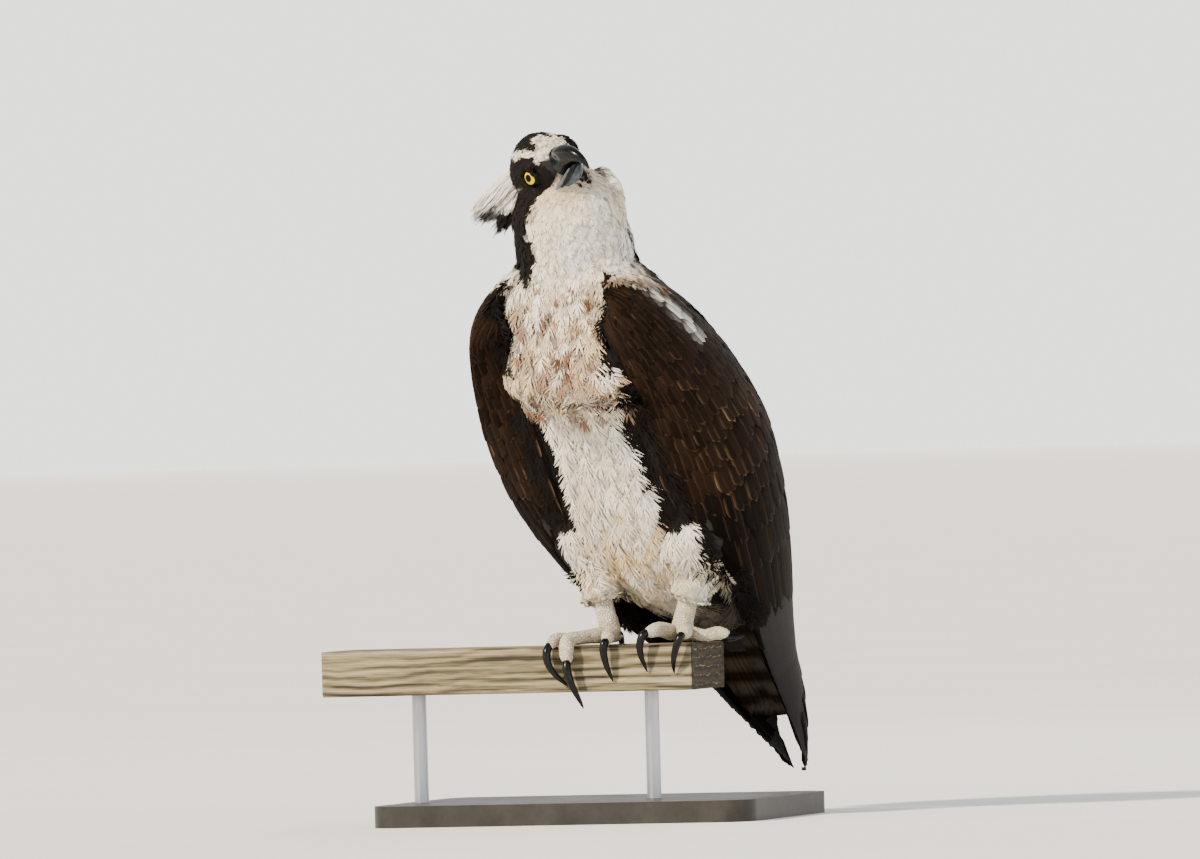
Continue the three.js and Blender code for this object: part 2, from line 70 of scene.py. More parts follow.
def table(rows, at):
    """Smooth curve through rows of (place, value, ...): cubic pieces with middle slopes."""
    rows = np.asarray(rows, float)
    x, y = rows[:, 0], rows[:, 1:]
    at = np.clip(np.asarray(at, float), x[0], x[-1])
    i = np.clip(np.searchsorted(x, at) - 1, 0, len(x) - 2)
    before, after = np.maximum(np.arange(len(x)) - 1, 0), np.minimum(np.arange(len(x)) + 1, len(x) - 1)
    slope = (y[after] - y[before]) / (x[after] - x[before])[:, None]
    span = (x[i + 1] - x[i])[..., None]
    t = (at[..., None] - x[i][..., None]) / span
    t2, t3 = t * t, t * t * t
    return (
        (2 * t3 - 3 * t2 + 1) * y[i]
        + (t3 - 2 * t2 + t) * slope[i] * span
        + (3 * t2 - 2 * t3) * y[i + 1]
        + (t3 - t2) * slope[i + 1] * span
    )


WAVES = unit(rng.normal(size=(14, 3))) * rng.uniform(0.6, 1.5, (14, 1)) * 2 * math.pi
PHASES = rng.uniform(0, 2 * math.pi, 14)


def noise(p, size, seed=0):
    """Soft noise from about -1 to 1: the mean of sine waves in many directions, size mm across."""
    q = (p / size) @ WAVES.T + PHASES * (seed + 1)
    return np.clip(np.sin(q).mean(-1) * 2.6, -1, 1)


def colour(text):
    """Linear red, green and blue of an sRGB hex colour."""
    c = np.array([int(text[i : i + 2], 16) for i in (1, 3, 5)]) / 255
    return np.where(c <= 0.04045, c / 12.92, ((c + 0.055) / 1.055) ** 2.4)


# Places on the bird, as the part has them

LEAN = math.radians(39.8)
LEFT = np.array([1.0, 0, 0])
TAILWARD = np.array([0, math.sin(LEAN), -math.cos(LEAN)])
BACK = np.array([0, math.cos(LEAN), math.sin(LEAN)])
FEET = np.array([60.0, -20.0, 146.0])
BODY = FEET + [0, 11.2, 168]
EYES = FEET + [2, -134, 396.8]
TURN = math.radians(12.5)
ALONG = np.array([math.cos(TURN), math.sin(TURN), 0])
OUT = np.array([math.sin(TURN), -math.cos(TURN), 0])
RIGHT = np.array([0.8616, 0.5075, 0])
TO_CAMERA = np.array([0.5075, -0.8616, 0])


def turned(axis, degrees):
    """Rotation about one of the axes."""
    c, s = math.cos(math.radians(degrees)), math.sin(math.radians(degrees))
    m = np.eye(3)
    i, j = {"x": (1, 2), "y": (2, 0), "z": (0, 1)}[axis]
    m[i, i], m[i, j], m[j, i], m[j, j] = c, -s, s, c
    return m


HEAD = turned("z", 47.5) @ turned("x", -17) @ turned("y", -37)


def stack(*values):
    """Numbers or arrays side by side as points."""
    return np.stack(np.broadcast_arrays(*[np.asarray(v, float) for v in values]), -1)


def from_body(x, w, d):
    """Point at x to the left, w tailward and d towards the back of the body's middle."""
    return BODY + stack(x, w, d) @ np.stack([LEFT, TAILWARD, BACK])


def to_body(p):
    """The body's own left, tailward and backward reach of points."""
    return (p - BODY) @ np.stack([LEFT, TAILWARD, BACK], -1)


def from_head(f, l, u):
    """Point f ahead along the bill line, l left and u up from the point between the eyes."""
    return stack(l, -np.asarray(f, float), u) @ HEAD.T + EYES


def to_head(p):
    """The head's own forward, left and upward reach of points."""
    q = (p - EYES) @ HEAD
    return stack(-q[..., 1], q[..., 0], q[..., 2])


def on_board(e, n, z):
    """Point e along the rail, n ahead of it and z over its top."""
    return FEET + stack(e, n, z) @ np.stack([ALONG, OUT, [0, 0, 1]])


def from_view(across, up, ahead):
    """Point by its reach to the camera's right, over the feet and towards the camera."""
    return FEET + stack(across, ahead, up) @ np.stack([RIGHT, TO_CAMERA, [0, 0, 1]])


# Rows of: place tailward, half width, reach to the back, reach to the belly
TORSO = [
    [-208, 22, 10, 14], [-196, 44, 24, 28], [-180, 58, 38, 42], [-158, 64, 50, 60], [-140, 68, 58, 76],
    [-122, 71, 63, 86], [-108, 73, 66, 76], [-60, 76, 72, 76], [-20, 78, 75, 80], [20, 79, 74, 86],
    [60, 76, 69, 90], [95, 66, 58, 86], [125, 50, 46, 68], [155, 37, 30, 44], [185, 27, 16, 24],
]  # fmt: skip
# Rows of: place tailward, radius, middle, upper angle, lower angle, x and d of the front edge
WING = [
    [-192, 50, -36, 34, 0, 54, -36], [-184, 64, -37, 42, -16, 58, -50], [-168, 76, -38, 48, -30, 47, -53],
    [-142, 87, -34, 60, -28, 46, -57], [-110, 97, -29, 67, -27, 48, -62], [-60, 108, -24, 74, -26, 52, -72],
    [0, 112, -21, 78, -26, 56, -76], [50, 106, -20, 80, -28, 61, -71], [90, 97, -18, 81, -30, 65, -66],
    [145, 80, -14, 82, -34, 58, -51], [200, 60, -8, 82, -34, 45, -38], [240, 46, -5, 81, -34, 35, -30],
    [280, 36, -4, 78, -34, 27, -24], [320, 23, -3, 66, -34, 18, -16], [360, 8, -3, 10, -34, 6, -8],
]  # fmt: skip


def torso_point(w, angle, inset=0):
    """Torso surface at a place and an angle round from the left through the back, inset mm inside."""
    wide, back, belly = np.moveaxis(table(TORSO, w), -1, 0)
    a = np.radians(angle)
    c, s = np.cos(a), np.sin(a)
    c = np.where(s > 0, c, np.sign(c) * np.abs(c) ** 0.72)
    s = np.where(s > 0, s, -np.abs(s) ** 0.72)
    return from_body((wide - inset) * c, w, (np.where(s > 0, back, belly) - inset) * s)


def wing_shape(side, w):
    """The wing's radius, its middle, its upper and lower angle, and its front edge, at a place."""
    row = table(WING, w)
    narrow = 1 - 0.2 * ramp(190, 260, w) if side < 0 else 1
    return row[..., 0] * narrow, row[..., 1], row[..., 2], row[..., 3], row[..., 4] * narrow, row[..., 5]


ROUND_X, ROUND_D = 1.05, 0.94


def front_gap(side, w):
    """From where the wing's ellipse ends below to the wing's front edge, in x and in d."""
    radius, middle, _, bottom, edge_x, edge_d = wing_shape(side, w)
    low = np.radians(bottom)
    return edge_x - ROUND_X * radius * np.cos(low), edge_d - middle - ROUND_D * radius * np.sin(low)


def lean(w):
    """How far the wing points and the tail lean to the left, in mm."""
    return 6 * ramp(170, 340, w)


def wing_point(side, w, angle, inset=0):
    """Wing surface at a place and angle, inset mm inside.

    Above its lower angle it is an ellipse round the body's line; below that it runs straight to the front edge,
    by as many mm as the angle would give on the ellipse.
    """
    radius, middle, _, bottom, _, _ = wing_shape(side, w)
    a = np.radians(np.maximum(angle, bottom))
    x = (ROUND_X * radius - inset) * np.cos(a)
    d = middle + (ROUND_D * radius - inset) * np.sin(a)
    gap_x, gap_d = front_gap(side, w)
    long = np.maximum(np.hypot(gap_x, gap_d), 1)
    run = np.minimum(np.radians(np.clip(bottom - angle, 0, None)) * radius, 1.05 * long)
    swell = 3.5 * np.sin(math.pi * np.clip(run / long, 0, 1)) - inset * ramp(0, 8, run)
    keep = inset * ramp(0, 8, run)
    x = x + gap_x / long * run + keep * np.cos(a) - gap_d / long * swell * 0.3
    d = d + gap_d / long * run + keep * np.sin(a) - np.abs(gap_x) / long * swell
    return from_body(lean(w) + side * x, w, d)


def panel_turn(side, w):
    """The front panel's width as an angle."""
    return np.degrees(np.hypot(*front_gap(side, w)) / wing_shape(side, w)[0])


# Objects from arrays


def placed(name, data):
    """A new object in the scene."""
    obj = bpy.data.objects.new(name, data)
    bpy.context.scene.collection.objects.link(obj)
    return obj


def read(items, key, width, kind=np.float32):
    """One property of a mesh's vertices or faces, as rows of this width."""
    values = np.empty(len(items) * width, kind)
    items.foreach_get(key, values)
    return values.reshape(-1, width)


def piece(name, points, faces, material, uv=None, bake=None, tint=None, stands_for=()):
    """One mesh from points in mm and faces of 3 or 4 corners, with its maps, colours and place in the frame."""
    faces = np.asarray(faces)
    corners = faces.shape[1]
    mesh = bpy.data.meshes.new(name)
    mesh.vertices.add(len(points))
    mesh.vertices.foreach_set("co", (np.asarray(points) * MM).astype(np.float32).ravel())
    mesh.loops.add(faces.size)
    mesh.loops.foreach_set("vertex_index", faces.astype(np.int32).ravel())
    mesh.polygons.add(len(faces))
    mesh.polygons.foreach_set("loop_start", np.arange(0, faces.size, corners, dtype=np.int32))
    for title, values in (("Lay", uv), ("OFBake", bake)):
        if values is not None:
            layer = mesh.uv_layers.new(name=title)
            layer.data.foreach_set("uv", values[faces.ravel()].astype(np.float32).ravel())
    if tint is not None:
        colours = mesh.attributes.new("Tint", "FLOAT_COLOR", "POINT")
        rows = np.c_[np.broadcast_to(tint, (len(points), 3)), np.ones(len(points))]
        colours.data.foreach_set("color", rows.astype(np.float32).ravel())
    mesh.update(calc_edges=True)
    mesh.validate()
    mesh.shade_smooth()
    mesh.materials.append(material)
    obj = placed(name, mesh)
    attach(obj, "root")
    if stands_for:
        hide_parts(*stands_for)
    return obj


def tube_faces(rings, around):
    """Quads between neighbouring rings of a tube."""
    i, j = np.meshgrid(np.arange(rings - 1), np.arange(around), indexing="ij")
    a, b = i * around + j, i * around + (j + 1) % around
    return np.stack([a, b, b + around, a + around], -1).reshape(-1, 4)


def loft(rings):
    """Points and quads of a closed tube; each end narrows to its middle over small inner rings."""
    first, last = rings[0], rings[-1]
    ends = [0.02, 0.55, 0.86]
    before = [mix(first.mean(0), first, np.full(len(first), k)) for k in ends]
    after = [mix(last.mean(0), last, np.full(len(last), k)) for k in ends[::-1]]
    rings = np.concatenate([before, rings, after])
    return rings.reshape(-1, 3), tube_faces(len(rings), rings.shape[1])


def merged(parts):
    """Several (points, faces) as one."""
    offset, points, faces = 0, [], []
    for p, f in parts:
        points.append(p)
        faces.append(f + offset)
        offset += len(p)
    return np.concatenate(points), np.concatenate(faces)


def swept(rows, count, around, up, bump=None):
    """Round tube through rows of (x, y, z, radius), smoothed, with bump(s, angle) added to its radius."""
    rows = np.asarray(rows, float)
    step = np.linalg.norm(np.diff(rows[:, :3], axis=0), axis=1)
    place = np.r_[0, np.cumsum(step)]
    s = np.linspace(0, place[-1], count)
    values = table(np.c_[place, rows], s)
    middle, radius = values[:, :3], values[:, 3]
    go = unit(np.gradient(middle, axis=0))
    side = unit(np.cross(go, up))
    rise = np.cross(side, go)
    a = np.linspace(0, 2 * math.pi, around, endpoint=False)
    reach = radius[:, None] * np.ones(around)
    if bump is not None:
        reach = reach + bump(s[:, None], a[None, :])
    ring = np.cos(a)[None, :, None] * side[:, None] + np.sin(a)[None, :, None] * rise[:, None]
    return loft(middle[:, None] + ring * reach[..., None])


# Materials


def node(tree, kind, inputs=None, **settings):
    """Adds a node, sets its settings and sets or links its inputs."""
    made = tree.nodes.new(kind)
    for key, value in settings.items():
        setattr(made, key, value)
    for key, value in (inputs or {}).items():
        socket = made.inputs[key]
        if isinstance(value, bpy.types.NodeSocket):
            tree.links.new(value, socket)
        else:
            socket.default_value = value
    return made


def rgba(text):
    """A hex colour with full cover, as sockets take it."""
    return (*colour(text), 1)


def blank(name, **values):
    """A named material, its tree and its shader, with plain values set on the shader's sockets."""
    made = bpy.data.materials.new(name)
    made.use_nodes = True
    shader = made.node_tree.nodes["Principled BSDF"]
    for key, value in values.items():
        shader.inputs[key.replace("_", " ")].default_value = value
    return made, made.node_tree, shader


def ramp_node(tree, factor, stops):
    """A colour ramp with (place, colour) stops."""
    made = node(tree, "ShaderNodeValToRGB", {"Fac": factor})
    elements = made.color_ramp.elements
    while len(elements) < len(stops):
        elements.new(0.5)
    for element, (place, text) in zip(elements, stops):
        element.position, element.color = place, rgba(text)
    return made.outputs["Color"]


def mixed(tree, factor, a, b, blend="MIX"):
    """Two colours blended; the node has a socket of each name for every type, so the enabled one is picked."""
    made = node(tree, "ShaderNodeMix", data_type="RGBA", blend_type=blend)
    for key, value in (("Factor", factor), ("A", a), ("B", b)):
        socket = next(s for s in made.inputs if s.name == key and s.enabled)
        if isinstance(value, bpy.types.NodeSocket):
            tree.links.new(value, socket)
        else:
            socket.default_value = value
    return next(s for s in made.outputs if s.type == "RGBA")


def maths(tree, operation, a, b=0.0, c=0.0):
    """One operation on up to three values."""
    return node(tree, "ShaderNodeMath", {0: a, 1: b, 2: c}, operation=operation).outputs[0]


def noise_node(tree, vector, scale, detail=4.0, roughness=0.55):
    """Noise from 0 to 1; scale is in cells to the metre."""
    inputs = {"Vector": vector, "Scale": scale, "Detail": detail, "Roughness": roughness}
    return node(tree, "ShaderNodeTexNoise", inputs).outputs["Fac"]


def bumped(tree, shader, height, distance, strength):
    """Relief from a height, distance metres deep."""
    made = node(tree, "ShaderNodeBump", {"Height": height, "Distance": distance, "Strength": strength})
    tree.links.new(made.outputs["Normal"], shader.inputs["Normal"])


def object_at(tree):
    """The place in the piece, in metres."""
    return node(tree, "ShaderNodeTexCoord").outputs["Object"]


def painted(tree):
    """The colour painted on the points."""
    return node(tree, "ShaderNodeAttribute", attribute_name="Tint").outputs["Color"]


def scaled(tree, vector, scale, turn=0.0):
    """A place stretched on each axis, after a turn about the upright."""
    made = node(tree, "ShaderNodeMapping", {"Vector": vector, "Scale": scale, "Rotation": (0, 0, turn)})
    return made.outputs["Vector"]


def soft_feather():
    """Downy contour feathers: the painted tint, with fine strand noise in colour and height."""
    made, tree, shader = blank("contour feathers", Roughness=0.85, Specular_IOR_Level=0.2)
    tint = painted(tree)
    grain = noise_node(tree, object_at(tree), 1400)
    shade = ramp_node(tree, grain, [(0.3, "#d2d2d2"), (0.7, "#ffffff")])
    tree.links.new(mixed(tree, 1.0, tint, shade, "MULTIPLY"), shader.inputs["Base Color"])
    bumped(tree, shader, grain, 0.0003, 0.5)
    return made


def flight_feather():
    """Stiff wing and tail vanes: painted tint, slanting barb lines every 1.15 mm and a raised shaft."""
    made, tree, shader = blank("flight feather vanes", Roughness=0.65, Specular_IOR_Level=0.04)
    tint = painted(tree)
    lay = node(tree, "ShaderNodeUVMap", uv_map="Lay").outputs["UV"]
    parts = node(tree, "ShaderNodeSeparateXYZ", {"Vector": lay})
    across = maths(tree, "ABSOLUTE", parts.outputs["X"])
    slant = maths(tree, "MULTIPLY_ADD", across, -0.9, parts.outputs["Y"])
    wobble = maths(tree, "MULTIPLY", noise_node(tree, object_at(tree), 220, 2), 7.0)
    lines = maths(tree, "SINE", maths(tree, "MULTIPLY_ADD", slant, 2 * math.pi / 1.15, wobble))
    half = maths(tree, "MULTIPLY_ADD", lines, 0.5, 0.5)
    shaft = maths(tree, "LESS_THAN", across, 0.55)
    shade = ramp_node(tree, half, [(0.0, "#bdbdbd"), (0.6, "#ffffff")])
    base = mixed(tree, 1.0, tint, shade, "MULTIPLY")
    tree.links.new(mixed(tree, shaft, base, rgba("#2a1d15")), shader.inputs["Base Color"])
    height = maths(tree, "ADD", maths(tree, "MULTIPLY", half, 0.4), shaft)
    bumped(tree, shader, height, 0.00025, 0.7)
    return made


def skin_under():
    """What shows between feathers: the same markings, a little darker and matt."""
    made, tree, shader = blank("down under the feathers", Roughness=0.9)
    tint = painted(tree)
    grain = noise_node(tree, object_at(tree), 700)
    shade = ramp_node(tree, grain, [(0.25, "#9c9c9c"), (0.7, "#e6e6e6")])
    tree.links.new(mixed(tree, 1.0, tint, shade, "MULTIPLY"), shader.inputs["Base Color"])
    bumped(tree, shader, grain, 0.0008, 0.8)
    return made


def horn():
    """Polished horn: fine growth lines, clouding in its colour and small scuffs in its gloss."""
    made, tree, shader = blank("polished horn", Coat_Weight=0.1, Coat_Roughness=0.15, Specular_IOR_Level=0.16)
    tint = painted(tree)
    at = object_at(tree)
    cloud = noise_node(tree, at, 160, 5)
    fine = noise_node(tree, at, 2200, 3)
    shade = ramp_node(tree, cloud, [(0.3, "#c4c4c4"), (0.7, "#ffffff")])
    tree.links.new(mixed(tree, 1.0, tint, shade, "MULTIPLY"), shader.inputs["Base Color"])
    tree.links.new(maths(tree, "MULTIPLY_ADD", cloud, 0.3, 0.12), shader.inputs["Roughness"])
    bumped(tree, shader, fine, 0.0001, 0.35)
    return made


def scaly_skin():
    """Foot skin: small raised scales about 2 mm across with darker seams, chalky on top."""
    made, tree, shader = blank("scaly foot skin", Roughness=0.62, Subsurface_Weight=0.06, Subsurface_Scale=0.002)
    at = object_at(tree)
    cells = {"Vector": at, "Scale": 430.0, "Randomness": 0.85}
    seam = node(tree, "ShaderNodeTexVoronoi", cells, feature="DISTANCE_TO_EDGE").outputs["Distance"]
    cloud = noise_node(tree, at, 120, 5)
    base = ramp_node(tree, cloud, [(0.3, "#b9ad92"), (0.5, "#d3c9b2"), (0.75, "#e6dfcd")])
    line = ramp_node(tree, seam, [(0.0, "#5b4f3a"), (0.2, "#ffffff")])
    tree.links.new(mixed(tree, 0.45, base, line, "MULTIPLY"), shader.inputs["Base Color"])
    rise = maths(tree, "MINIMUM", seam, 0.3)
    bumped(tree, shader, rise, 0.0026, 1.0)
    return made


def eye_glass():
    """Eyeball: black pupil, yellow iris with fine rays and an orange rim, under a wet clear coat."""
    wet = {"Coat_Weight": 0.15, "Coat_Roughness": 0.03, "Coat_IOR": 1.33}
    made, tree, shader = blank("wet eye", Roughness=0.3, Specular_IOR_Level=0.05, **wet)
    lay = node(tree, "ShaderNodeUVMap", uv_map="Lay").outputs["UV"]
    parts = node(tree, "ShaderNodeSeparateXYZ", {"Vector": lay})
    rays = noise_node(tree, scaled(tree, lay, (40, 2.0, 1)), 3.0, 5)
    off = maths(tree, "MULTIPLY_ADD", rays, 0.02, parts.outputs["Y"])
    rings = ramp_node(tree, off, [
        (0.0, "#010101"), (0.148, "#020201"), (0.158, "#8f7800"), (0.172, "#cbb000"), (0.24, "#dcc600"),
        (0.285, "#c8ae00"), (0.305, "#1a0f04"), (0.34, "#040302"),
    ])  # fmt: skip
    tree.links.new(rings, shader.inputs["Base Color"])
    return made


def weathered_timber():
    """Grey-yellow softwood: long grain with dark latewood lines, checks and worn pale fibres."""
    made, tree, shader = blank("weathered timber", Roughness=0.85)
    at = scaled(tree, object_at(tree), (1, 1, 1), -TURN)
    warp = noise_node(tree, scaled(tree, at, (9, 26, 26)), 1.0, 3)
    grain = noise_node(tree, scaled(tree, at, (7, 330, 330)), 1.0, 6, 0.65)
    fibre = noise_node(tree, scaled(tree, at, (40, 1700, 1700)), 1.0, 4)
    place = node(tree, "ShaderNodeSeparateXYZ", {"Vector": at}).outputs
    rings = maths(tree, "MULTIPLY_ADD", place["Z"], 800.0, maths(tree, "MULTIPLY", warp, 20.0))
    bands = maths(tree, "SINE", rings)
    tone = maths(tree, "ADD", maths(tree, "MULTIPLY", bands, 0.12), grain)
    base = ramp_node(tree, tone, [(0.3, "#2c2518"), (0.42, "#655a41"), (0.53, "#857a5c"), (0.72, "#a0967a")])
    dust = ramp_node(tree, fibre, [(0.3, "#a9a08c"), (0.6, "#ffffff")])
    worn = mixed(tree, 0.7, base, dust, "MULTIPLY")
    end = maths(tree, "GREATER_THAN", place["X"], (FEET @ ALONG + 51.2) * MM)
    darker = mixed(tree, 1.0, worn, rgba("#6b5f4c"), "MULTIPLY")
    tree.links.new(mixed(tree, end, worn, darker), shader.inputs["Base Color"])
    height = maths(tree, "ADD", tone, maths(tree, "MULTIPLY", fibre, 0.4))
    bumped(tree, shader, height, 0.0012, 0.8)
    return made


def painted_board():
    """Dark satin paint on board: a faint wood grain under it and small dust marks."""
    made, tree, shader = blank("satin painted board", Specular_IOR_Level=0.25)
    at = object_at(tree)
    grain = noise_node(tree, scaled(tree, at, (4, 120, 120), -TURN), 1.0, 5)
    dust = noise_node(tree, at, 35, 8, 0.7)
    tree.links.new(ramp_node(tree, dust, [(0.35, "#221f1c"), (0.7, "#34302b")]), shader.inputs["Base Color"])
    tree.links.new(maths(tree, "MULTIPLY_ADD", dust, 0.3, 0.3), shader.inputs["Roughness"])
    bumped(tree, shader, grain, 0.0003, 0.4)
    return made


def brushed_steel():
    """Steel rod brushed round its length: rings of fine lines in its roughness and height."""
    made, tree, shader = blank("brushed steel", Metallic=1.0, Base_Color=rgba("#a3a5a8"))
    lines = noise_node(tree, scaled(tree, object_at(tree), (60, 60, 5200)), 1.0, 3)
    tree.links.new(maths(tree, "MULTIPLY_ADD", lines, 0.25, 0.2), shader.inputs["Roughness"])
    bumped(tree, shader, lines, 0.00008, 0.4)
    return made


def pale_floor():
    """Matt studio floor with a barely seen mottling."""
    made, tree, shader = blank("matt studio floor", Roughness=0.9)
    cloud = noise_node(tree, object_at(tree), 3.0, 4)
    tree.links.new(ramp_node(tree, cloud, [(0.3, "#f1efea"), (0.7, "#f5f3ee")]), shader.inputs["Base Color"])
    return made


SOFT, VANE, UNDER, SCALY = soft_feather(), flight_feather(), skin_under(), scaly_skin()
HORN = horn()

# Markings, shared by the skin and the feathers over it

WHITE, CREAM, BUFF = colour("#f6f1e6"), colour("#ecdcb9"), colour("#d9b57c")
OCHRE, RUFOUS, STREAK = colour("#c08a3c"), colour("#7d4c2b"), colour("#4a2c18")
DARK, BROWN, SOOT = colour("#0f0906"), colour("#1d120b"), colour("#0a0604")
TAN, GREY, WING_BROWN = colour("#8c7150"), colour("#a79c88"), colour("#140d09")

NECK_TOP, NECK_LOW = FEET + [-3, -123, 388], FEET + [-4, -62, 270]
NECK_WAY = unit(NECK_LOW - NECK_TOP)


def head_share(p):
    """1 on the head and 0 away from it, by an egg round the skull."""
    f, l, u = np.moveaxis(to_head(p), -1, 0)
    far = np.sqrt(((f + 10) / 40) ** 2 + (l / 29) ** 2 + ((u - 1) / 33) ** 2)
    return 1 - ramp(1.0, 1.3, far)


def neck_place(down, angle):
    """Neck surface: down from the skull, at an angle round it where 90 is the front and 0 the left."""
    a = math.radians(angle)
    middle = NECK_TOP + down * NECK_WAY
    wide = np.interp(down, [0, 30, 60, 110, 130], [30, 44, 48, 50, 50])
    return middle + wide * np.array([math.cos(a), -math.sin(a), 0])


# The eye stripe's places and half widths, on the right and on the left; on the left it starts low on the chin,
# where shade under the bill is painted in with it
EYE_STRIPES_AND_CHIN_SHADE = [
    [
        (from_head(21, -9, -4), 9), (from_head(8, -21, -3), 11), (from_head(-3, -25, -3), 11),
        (from_head(-15, -30, -8), 12), (from_head(-28, -37, -14), 14), (neck_place(32, 130), 17),
        (neck_place(47, 126), 19), (neck_place(60, 119), 20), (neck_place(82, 112), 6),
    ],
    [
        # The first stop lies low on the chin beside the lower bill: painted shade under the bill, joined to the
        # real lores stripe
        (from_head(12, 6, -24), 7), (from_head(15, 9, -10), 9), (from_head(8, 20, -2), 10),
        (from_head(-3, 25, -2), 10), (from_head(-20, 27, -4), 10), (from_head(-36, 27, -8), 10),
        (neck_place(34, -72), 12), (neck_place(66, -66), 10),
    ],
]  # fmt: skip


def near(p, line):
    """Distance from points to a straight line between two ends, and how far along it they are."""
    a, b = line
    t = np.clip((p - a) @ (b - a) / ((b - a) @ (b - a)), 0, 1)
    return np.linalg.norm(p - (a + t[..., None] * (b - a)), axis=-1), t


def stripe(p):
    """The dark eye stripe: from the bill through each eye, behind the jaw and down that side of the neck, with
    painted shade on the chin under the bill on the left.
    """
    dark = 0
    for line in EYE_STRIPES_AND_CHIN_SHADE:
        for (a, wide), (b, narrow) in zip(line, line[1:]):
            far, t = near(p, (a, b))
            reach = wide + (narrow - wide) * t + 2.0 * noise(p, 9, 2)
            dark = np.maximum(dark, 1 - ramp(reach - 1.2, reach + 1.6, far))
    return dark


CREST = FEET + np.array([[-20, -108, 382], [-70, -127, 354]])
RUFF = FEET + np.array([[6, -92, 379], [40, -100, 332]])


def body_tint(p):
    """Colour of the plumage at points.

    White below with an ochre stain low on the belly, a bib washed with buff, a dark stripe through the eye
    and down the neck, a streaked crown with a white middle and eyebrow, and dark brown on the back.
    """
    x, w, d = np.moveaxis(to_body(p), -1, 0)
    f, l, u = np.moveaxis(to_head(p), -1, 0)
    share = head_share(p)
    tint = mix(WHITE, CREAM, 0.35 + 0.4 * noise(p, 30, 1))
    stain = ramp(0.1, 0.8, noise(p, 16, 7) + 0.9 * (1 - np.abs(w - 40) / 60) - 0.25)
    stain = stain * ramp(-70, -10, w) * (d < 10) * ramp(50, 34, np.abs(x + 3)) * 0.8
    tint = mix(tint, BUFF, 0.75 * stain)
    tint = mix(tint, OCHRE, 0.5 * stain * ramp(0.0, 0.8, noise(p, 7, 8)))
    # Tailward the white turns grey: painted shade under the tail
    tint = mix(tint, GREY, 0.4 * ramp(90, 170, w))
    bib = bib_share(p)
    tint = mix(tint, BUFF, 0.62 * bib * ramp(-0.4, 0.5, noise(p, 14, 6)))
    tint = mix(tint, RUFOUS, 0.5 * bib * ramp(0.0, 0.5, noise(p * [1, 1, 0.75], 9, 3)))
    back = ramp(8, 34, d + 0.18 * np.abs(x)) * ramp(-214, -190, w) * (1 - share)
    tint = mix(tint, BROWN, back)
    throat = ramp(-2, -16, u) * share
    tint = mix(tint, mix(CREAM, BUFF, 0.35 + 0.3 * noise(p, 9, 9)), 0.8 * throat)
    # The crown, by the turn up from the head's side: eyebrow, middle and front stay pale
    turn = np.degrees(np.arctan2(u + 1, np.abs(l)))
    crown = share * ramp(6, 12, turn) * ramp(0, 5, u) * ramp(-46, -34, f)
    lines = noise(stack(f * 0.16, l * 1.4, u * 1.4), 5.0, 4)
    fan = np.exp(-(((turn - 59 + 0.45 * (f - 5)) / 7.5) ** 2)) * ramp(-16, -6, f)
    middle = np.exp(-(((l - 1) / 4.2) ** 2)) * ramp(6, 11, f) * (turn > 50)
    front = ramp(12, 18, f) * ramp(24, 32, turn)
    light = np.clip(fan + middle + front, 0, 1)
    dark = crown * (1 - ramp(0.3, 0.55, light + 0.2 * lines))
    tint = mix(tint, STREAK, 0.55 * crown * ramp(0.1, 0.5, lines))
    tint = mix(tint, DARK, dark)
    # Further under the tail it turns dark grey-brown: painted shade from the wings and tail over the white
    # undertail
    tint = mix(tint, mix(BROWN, GREY, 0.18), 0.9 * ramp(104, 130, w))
    tint = mix(tint, WHITE, 1 - ramp(13, 19, near(p, CREST)[0]))
    tint = mix(tint, WHITE, 1 - ramp(11, 17, near(p, RUFF)[0]))
    return mix(tint, DARK, stripe(p))


def bib_share(p):
    """1 on the bib: the breast from the neck's foot to the ragged lower edge."""
    x, w, d = np.moveaxis(to_body(p), -1, 0)
    down = (p - NECK_TOP) @ NECK_WAY
    return ramp(58, 84, down) * (1 - ramp(-112, -98, w + 0.12 * x)) * (1 - ramp(10, 30, d))


# The skin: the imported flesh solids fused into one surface, smoothed and drawn in by the coat's depth

FLESH = ["torso", "neck", "head", "thigh_left", "thigh_right", "wing_left", "wing_right"]


def fused(names, voxel, smooth):
    """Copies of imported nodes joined, remeshed at the voxel size in mm and smoothed: points, normals and quads."""
    parts = []
    for name in names:
        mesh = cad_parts[name].data
        mesh.calc_loop_triangles()
        parts.append((read(mesh.vertices, "co", 3), read(mesh.loop_triangles, "vertices", 3, np.int32)))
    points, faces = merged(parts)
    source = bpy.data.meshes.new("flesh")
    source.from_pydata(points.tolist(), [], faces.tolist())
    obj = placed("flesh", source)
    remesh = obj.modifiers.new("remesh", "REMESH")
    remesh.mode, remesh.voxel_size = "VOXEL", voxel * MM
    even = obj.modifiers.new("smooth", "SMOOTH")
    even.factor, even.iterations = 0.5, smooth
    made = obj.evaluated_get(bpy.context.evaluated_depsgraph_get()).to_mesh()
    points, normals = read(made.vertices, "co", 3), read(made.vertex_normals, "vector", 3)
    quads = read(made.polygons, "vertices", 4, np.int32)
    bpy.data.objects.remove(obj)
    return points.astype(float) / MM, unit(normals.astype(float)), quads


def thigh_line(side):
    """The middle of a thigh, from its top inside the body down to its hem."""
    foot = [35, 0] if side > 0 else [-31, -6]
    return np.array([from_body(side * 46, 30, -46), FEET + [foot[0] + side * 8, foot[1], 30]])


skin_points, skin_normals, skin_quads = fused(FLESH, voxel=2.0, smooth=8)
